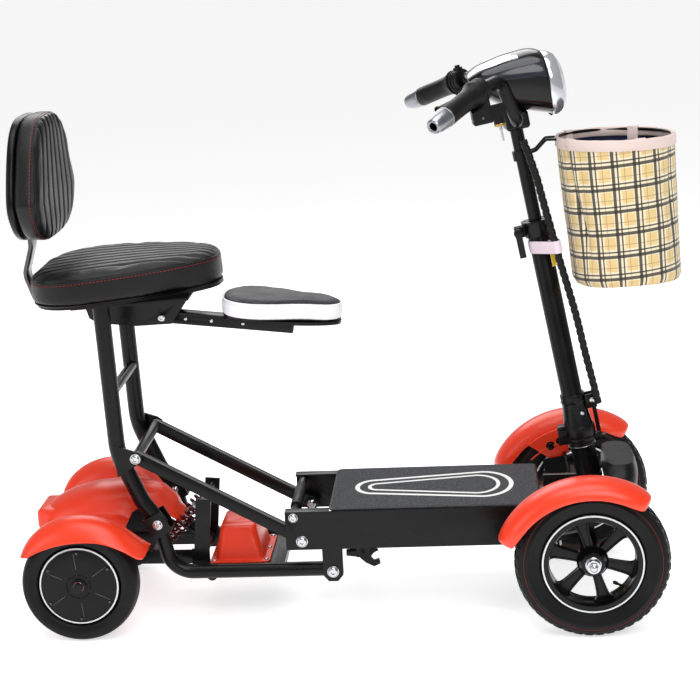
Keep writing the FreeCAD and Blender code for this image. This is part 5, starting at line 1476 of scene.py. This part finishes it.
def make_controls():
    """The painted parts of the bars and the tiller, and the screws, rings and collars on them."""
    for node, name, body, finish in (
        ("throttle_housing", "throttle_box", "stem", "plastic_black"),
        ("brake_housing", "brake_perch", "stem", "plastic_black"),
        ("stem_clamp", "stem_collar", "tiller", "frame_black"),
        ("clamp_lever", "collar_lever", "clamp_lever", "frame_black"),
        ("tiller_tube", "tiller_post", "tiller", "frame_black"),
        ("tiller_latch", "hinge_latch", "tiller_latch", "frame_black"),
        ("steering_column", "column", "steering_column", "frame_black"),
        ("frame_latch", "fold_hook", "frame_latch", "frame_black"),
    ):
        copy_node(node, name, body, 0.6, finish, finish, 38, 35)
    details = Build(BAR)
    for h in (660, 688):
        details.bolt((-79.8, -138, h), (-1, 0, 0), 2.6, 1.2, "dark_steel", 0.5)
    for h in (658, 686):
        details.bolt((-64, -154, h), (0, -1, 0), 2.4, 1.2, "dark_steel", 0.5)
    details.lathe([(3.2, -2), (8.6, -2), (9.4, -1), (9.4, 2), (8.6, 3), (6, 3.2), (3.2, 3)], "brass",
                  (-36, -112, 638.5), (0, 0, -1), 32)
    details.bolt((-36, -103, 662), (0, 1, 0), 5, 5, "chrome", 0.2)
    for side in (RIGHT, LEFT):
        end, inward = grip_axis(side)
        for start, r, wide in ((90, 20.6, 5.5), (97.5, 20.0, 5), (104.5, 19.8, 5)):
            r -= 0 if side == RIGHT else 0.6
            details.lathe([(r - 2, start), (r - 0.5, start), (r, start + 0.7), (r, start + wide - 0.7),
                           (r - 0.5, start + wide), (r - 2, start + wide)], "plastic_black", end, inward, 56)
    details.finish("control_trim", "stem", "plastic_black")
    foot = Build(STEER)
    for h, r in ((93.4, 25.2), (139, 21.4), (149.4, 20.6)):
        foot.lathe([(r - 2, h - 1.6), (r, h - 1.4), (r + 0.6, h), (r, h + 1.4), (r - 2, h + 1.6)], "frame_black",
                   (0, 0, 0), (0, 0, 1), 64)
    foot.bolt((10, -19.6, 118), (0.45, -1, 0), 3.6, 2.6, "chrome", 0.4)
    for side in (RIGHT, LEFT):
        foot.bolt((31, side * 14, 136), (0, side, 0), 4.6, 3, "chrome", 0.4)
    foot.finish("tiller_trim", "tiller", "frame_black")
    ring = Build(STEER)
    ring.lathe([(22, 58.8), (23.4, 59), (23.7, 59.6), (23.4, 60.2), (22, 60.4)], "steel", (0, 0, 0), (0, 0, 1), 64)
    ring.finish("head_tube_ring", "chassis", "steel")


# ---------------------------------------------------------------- cables and strap

# The cable's route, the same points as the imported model's, in millimetres.
HARNESS = [(300, -34, 792), (318, -40, 742), (330, -44, 690), (343, -45, 640), (355, -45, 590), (369, -45, 540),
           (382, -44, 490), (392, -42, 440), (404, -40, 390), (414, -36, 345)]


def spline_points(route):
    """Points along the smooth line of a cord, in metres."""
    curve = bpy.data.curves.new("Route", "CURVE")
    curve.dimensions = "3D"
    spline = curve.splines.new("NURBS")
    spline.points.add(len(route) - 1)
    for point, (x, y, z) in zip(spline.points, route):
        point.co = (x / 1000, y / 1000, z / 1000, 1)
    spline.order_u = 3
    spline.use_endpoint_u = True
    spline.resolution_u = 24
    obj = bpy.data.objects.new("Route", curve)
    bpy.context.scene.collection.objects.link(obj)
    bpy.context.view_layer.update()
    mesh = bpy.data.meshes.new_from_object(obj)
    points = [v.co.copy() for v in mesh.vertices]
    bpy.data.objects.remove(obj)
    bpy.data.meshes.remove(mesh)
    return points


def even(points, step):
    """The same line with points a fixed step apart."""
    out, due, walked = [points[0]], step, 0.0
    for a, b in zip(points, points[1:]):
        run = (b - a).length
        while run and due <= walked + run:
            out.append(a + (b - a) * ((due - walked) / run))
            due += step
        walked += run
    return out + [points[-1]]


def make_harness():
    """The wrapped bundle of cables: a tube whose ridge winds round it, from the bars to the nose."""
    pitch, step = 13.0, 1.1
    line = spline_points(HARNESS)
    length = sum((b - a).length for a, b in zip(line, line[1:]))
    radius, ridge = 5.5, 1.0
    fine = even(line, step / 1000)
    cable = Build()
    sides, rows, a = 20, [], None
    for i, p in enumerate(fine):
        d = (fine[min(i + 1, len(fine) - 1)] - fine[max(i - 1, 0)]).normalized()
        a = axes(d)[0] if a is None else (a - d * a.dot(d)).normalized()
        b = d.cross(a)
        row = []
        for k in range(sides):
            turn = 2 * math.pi * k / sides
            phase = (i * step / pitch - k / sides) % 1
            r = radius + ridge * smoothstep(0.08, 0.2, phase) * smoothstep(0.86, 0.74, phase)
            row.append(p * 1000 + (a * math.cos(turn) + b * math.sin(turn)) * r)
        rows.append(row)
    cable.grid(rows, "cable_black", ring=True, caps=True)
    obj = cable.finish("harness", None, "cable_black", smooth=60)
    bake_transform(obj)
    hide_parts("cable_harness")


def make_strap():
    """Cloth strap round the tiller and the harness, with a plain tag under it."""
    circles = ((0, 0, 18.5), (24.5, -45, 7.4))
    cloud = [(x + r * math.cos(math.radians(t)), y + r * math.sin(math.radians(t)))
             for x, y, r in circles for t in range(0, 360, 10)]
    hull = [cloud[i] for i in convex_hull_2d([Vector(p) for p in cloud])]
    centre = Vector((8, -14))
    rows = []
    for h, out in ((403, 0), (402.4, 0.6), (403, 1.3), (413, 1.7), (423, 1.3), (423.6, 0.6), (423, 0)):
        rows.append([(x + (x - centre.x) * out / 26, y + (y - centre.y) * out / 26,
                      h + 0.5 * math.sin(x * 0.2 + y * 0.13)) for x, y in hull])
    strap = Build(STEER)
    strap.grid(rows, "strap_pink", ring=True)
    strap.box((13, -34, 402.6), (24, -31, 423.4), "strap_pink", 0.8, Matrix.Rotation(math.radians(-30), 3, "Z"))
    strap.box((11.5, -17.2, 376), (21, -16, 403), "tag_yellow", 0.3, Matrix.Rotation(math.radians(38), 3, "Z"))
    strap.finish("cable_strap", "tiller", "cable_black")


make_studio()
finish_cad_nodes()
for make in (make_wheels, make_mouldings, make_cushions, make_basket, make_deck, make_bolts, make_springs,
             make_frame, make_grips, make_head, make_controls, make_harness, make_strap):
    make()
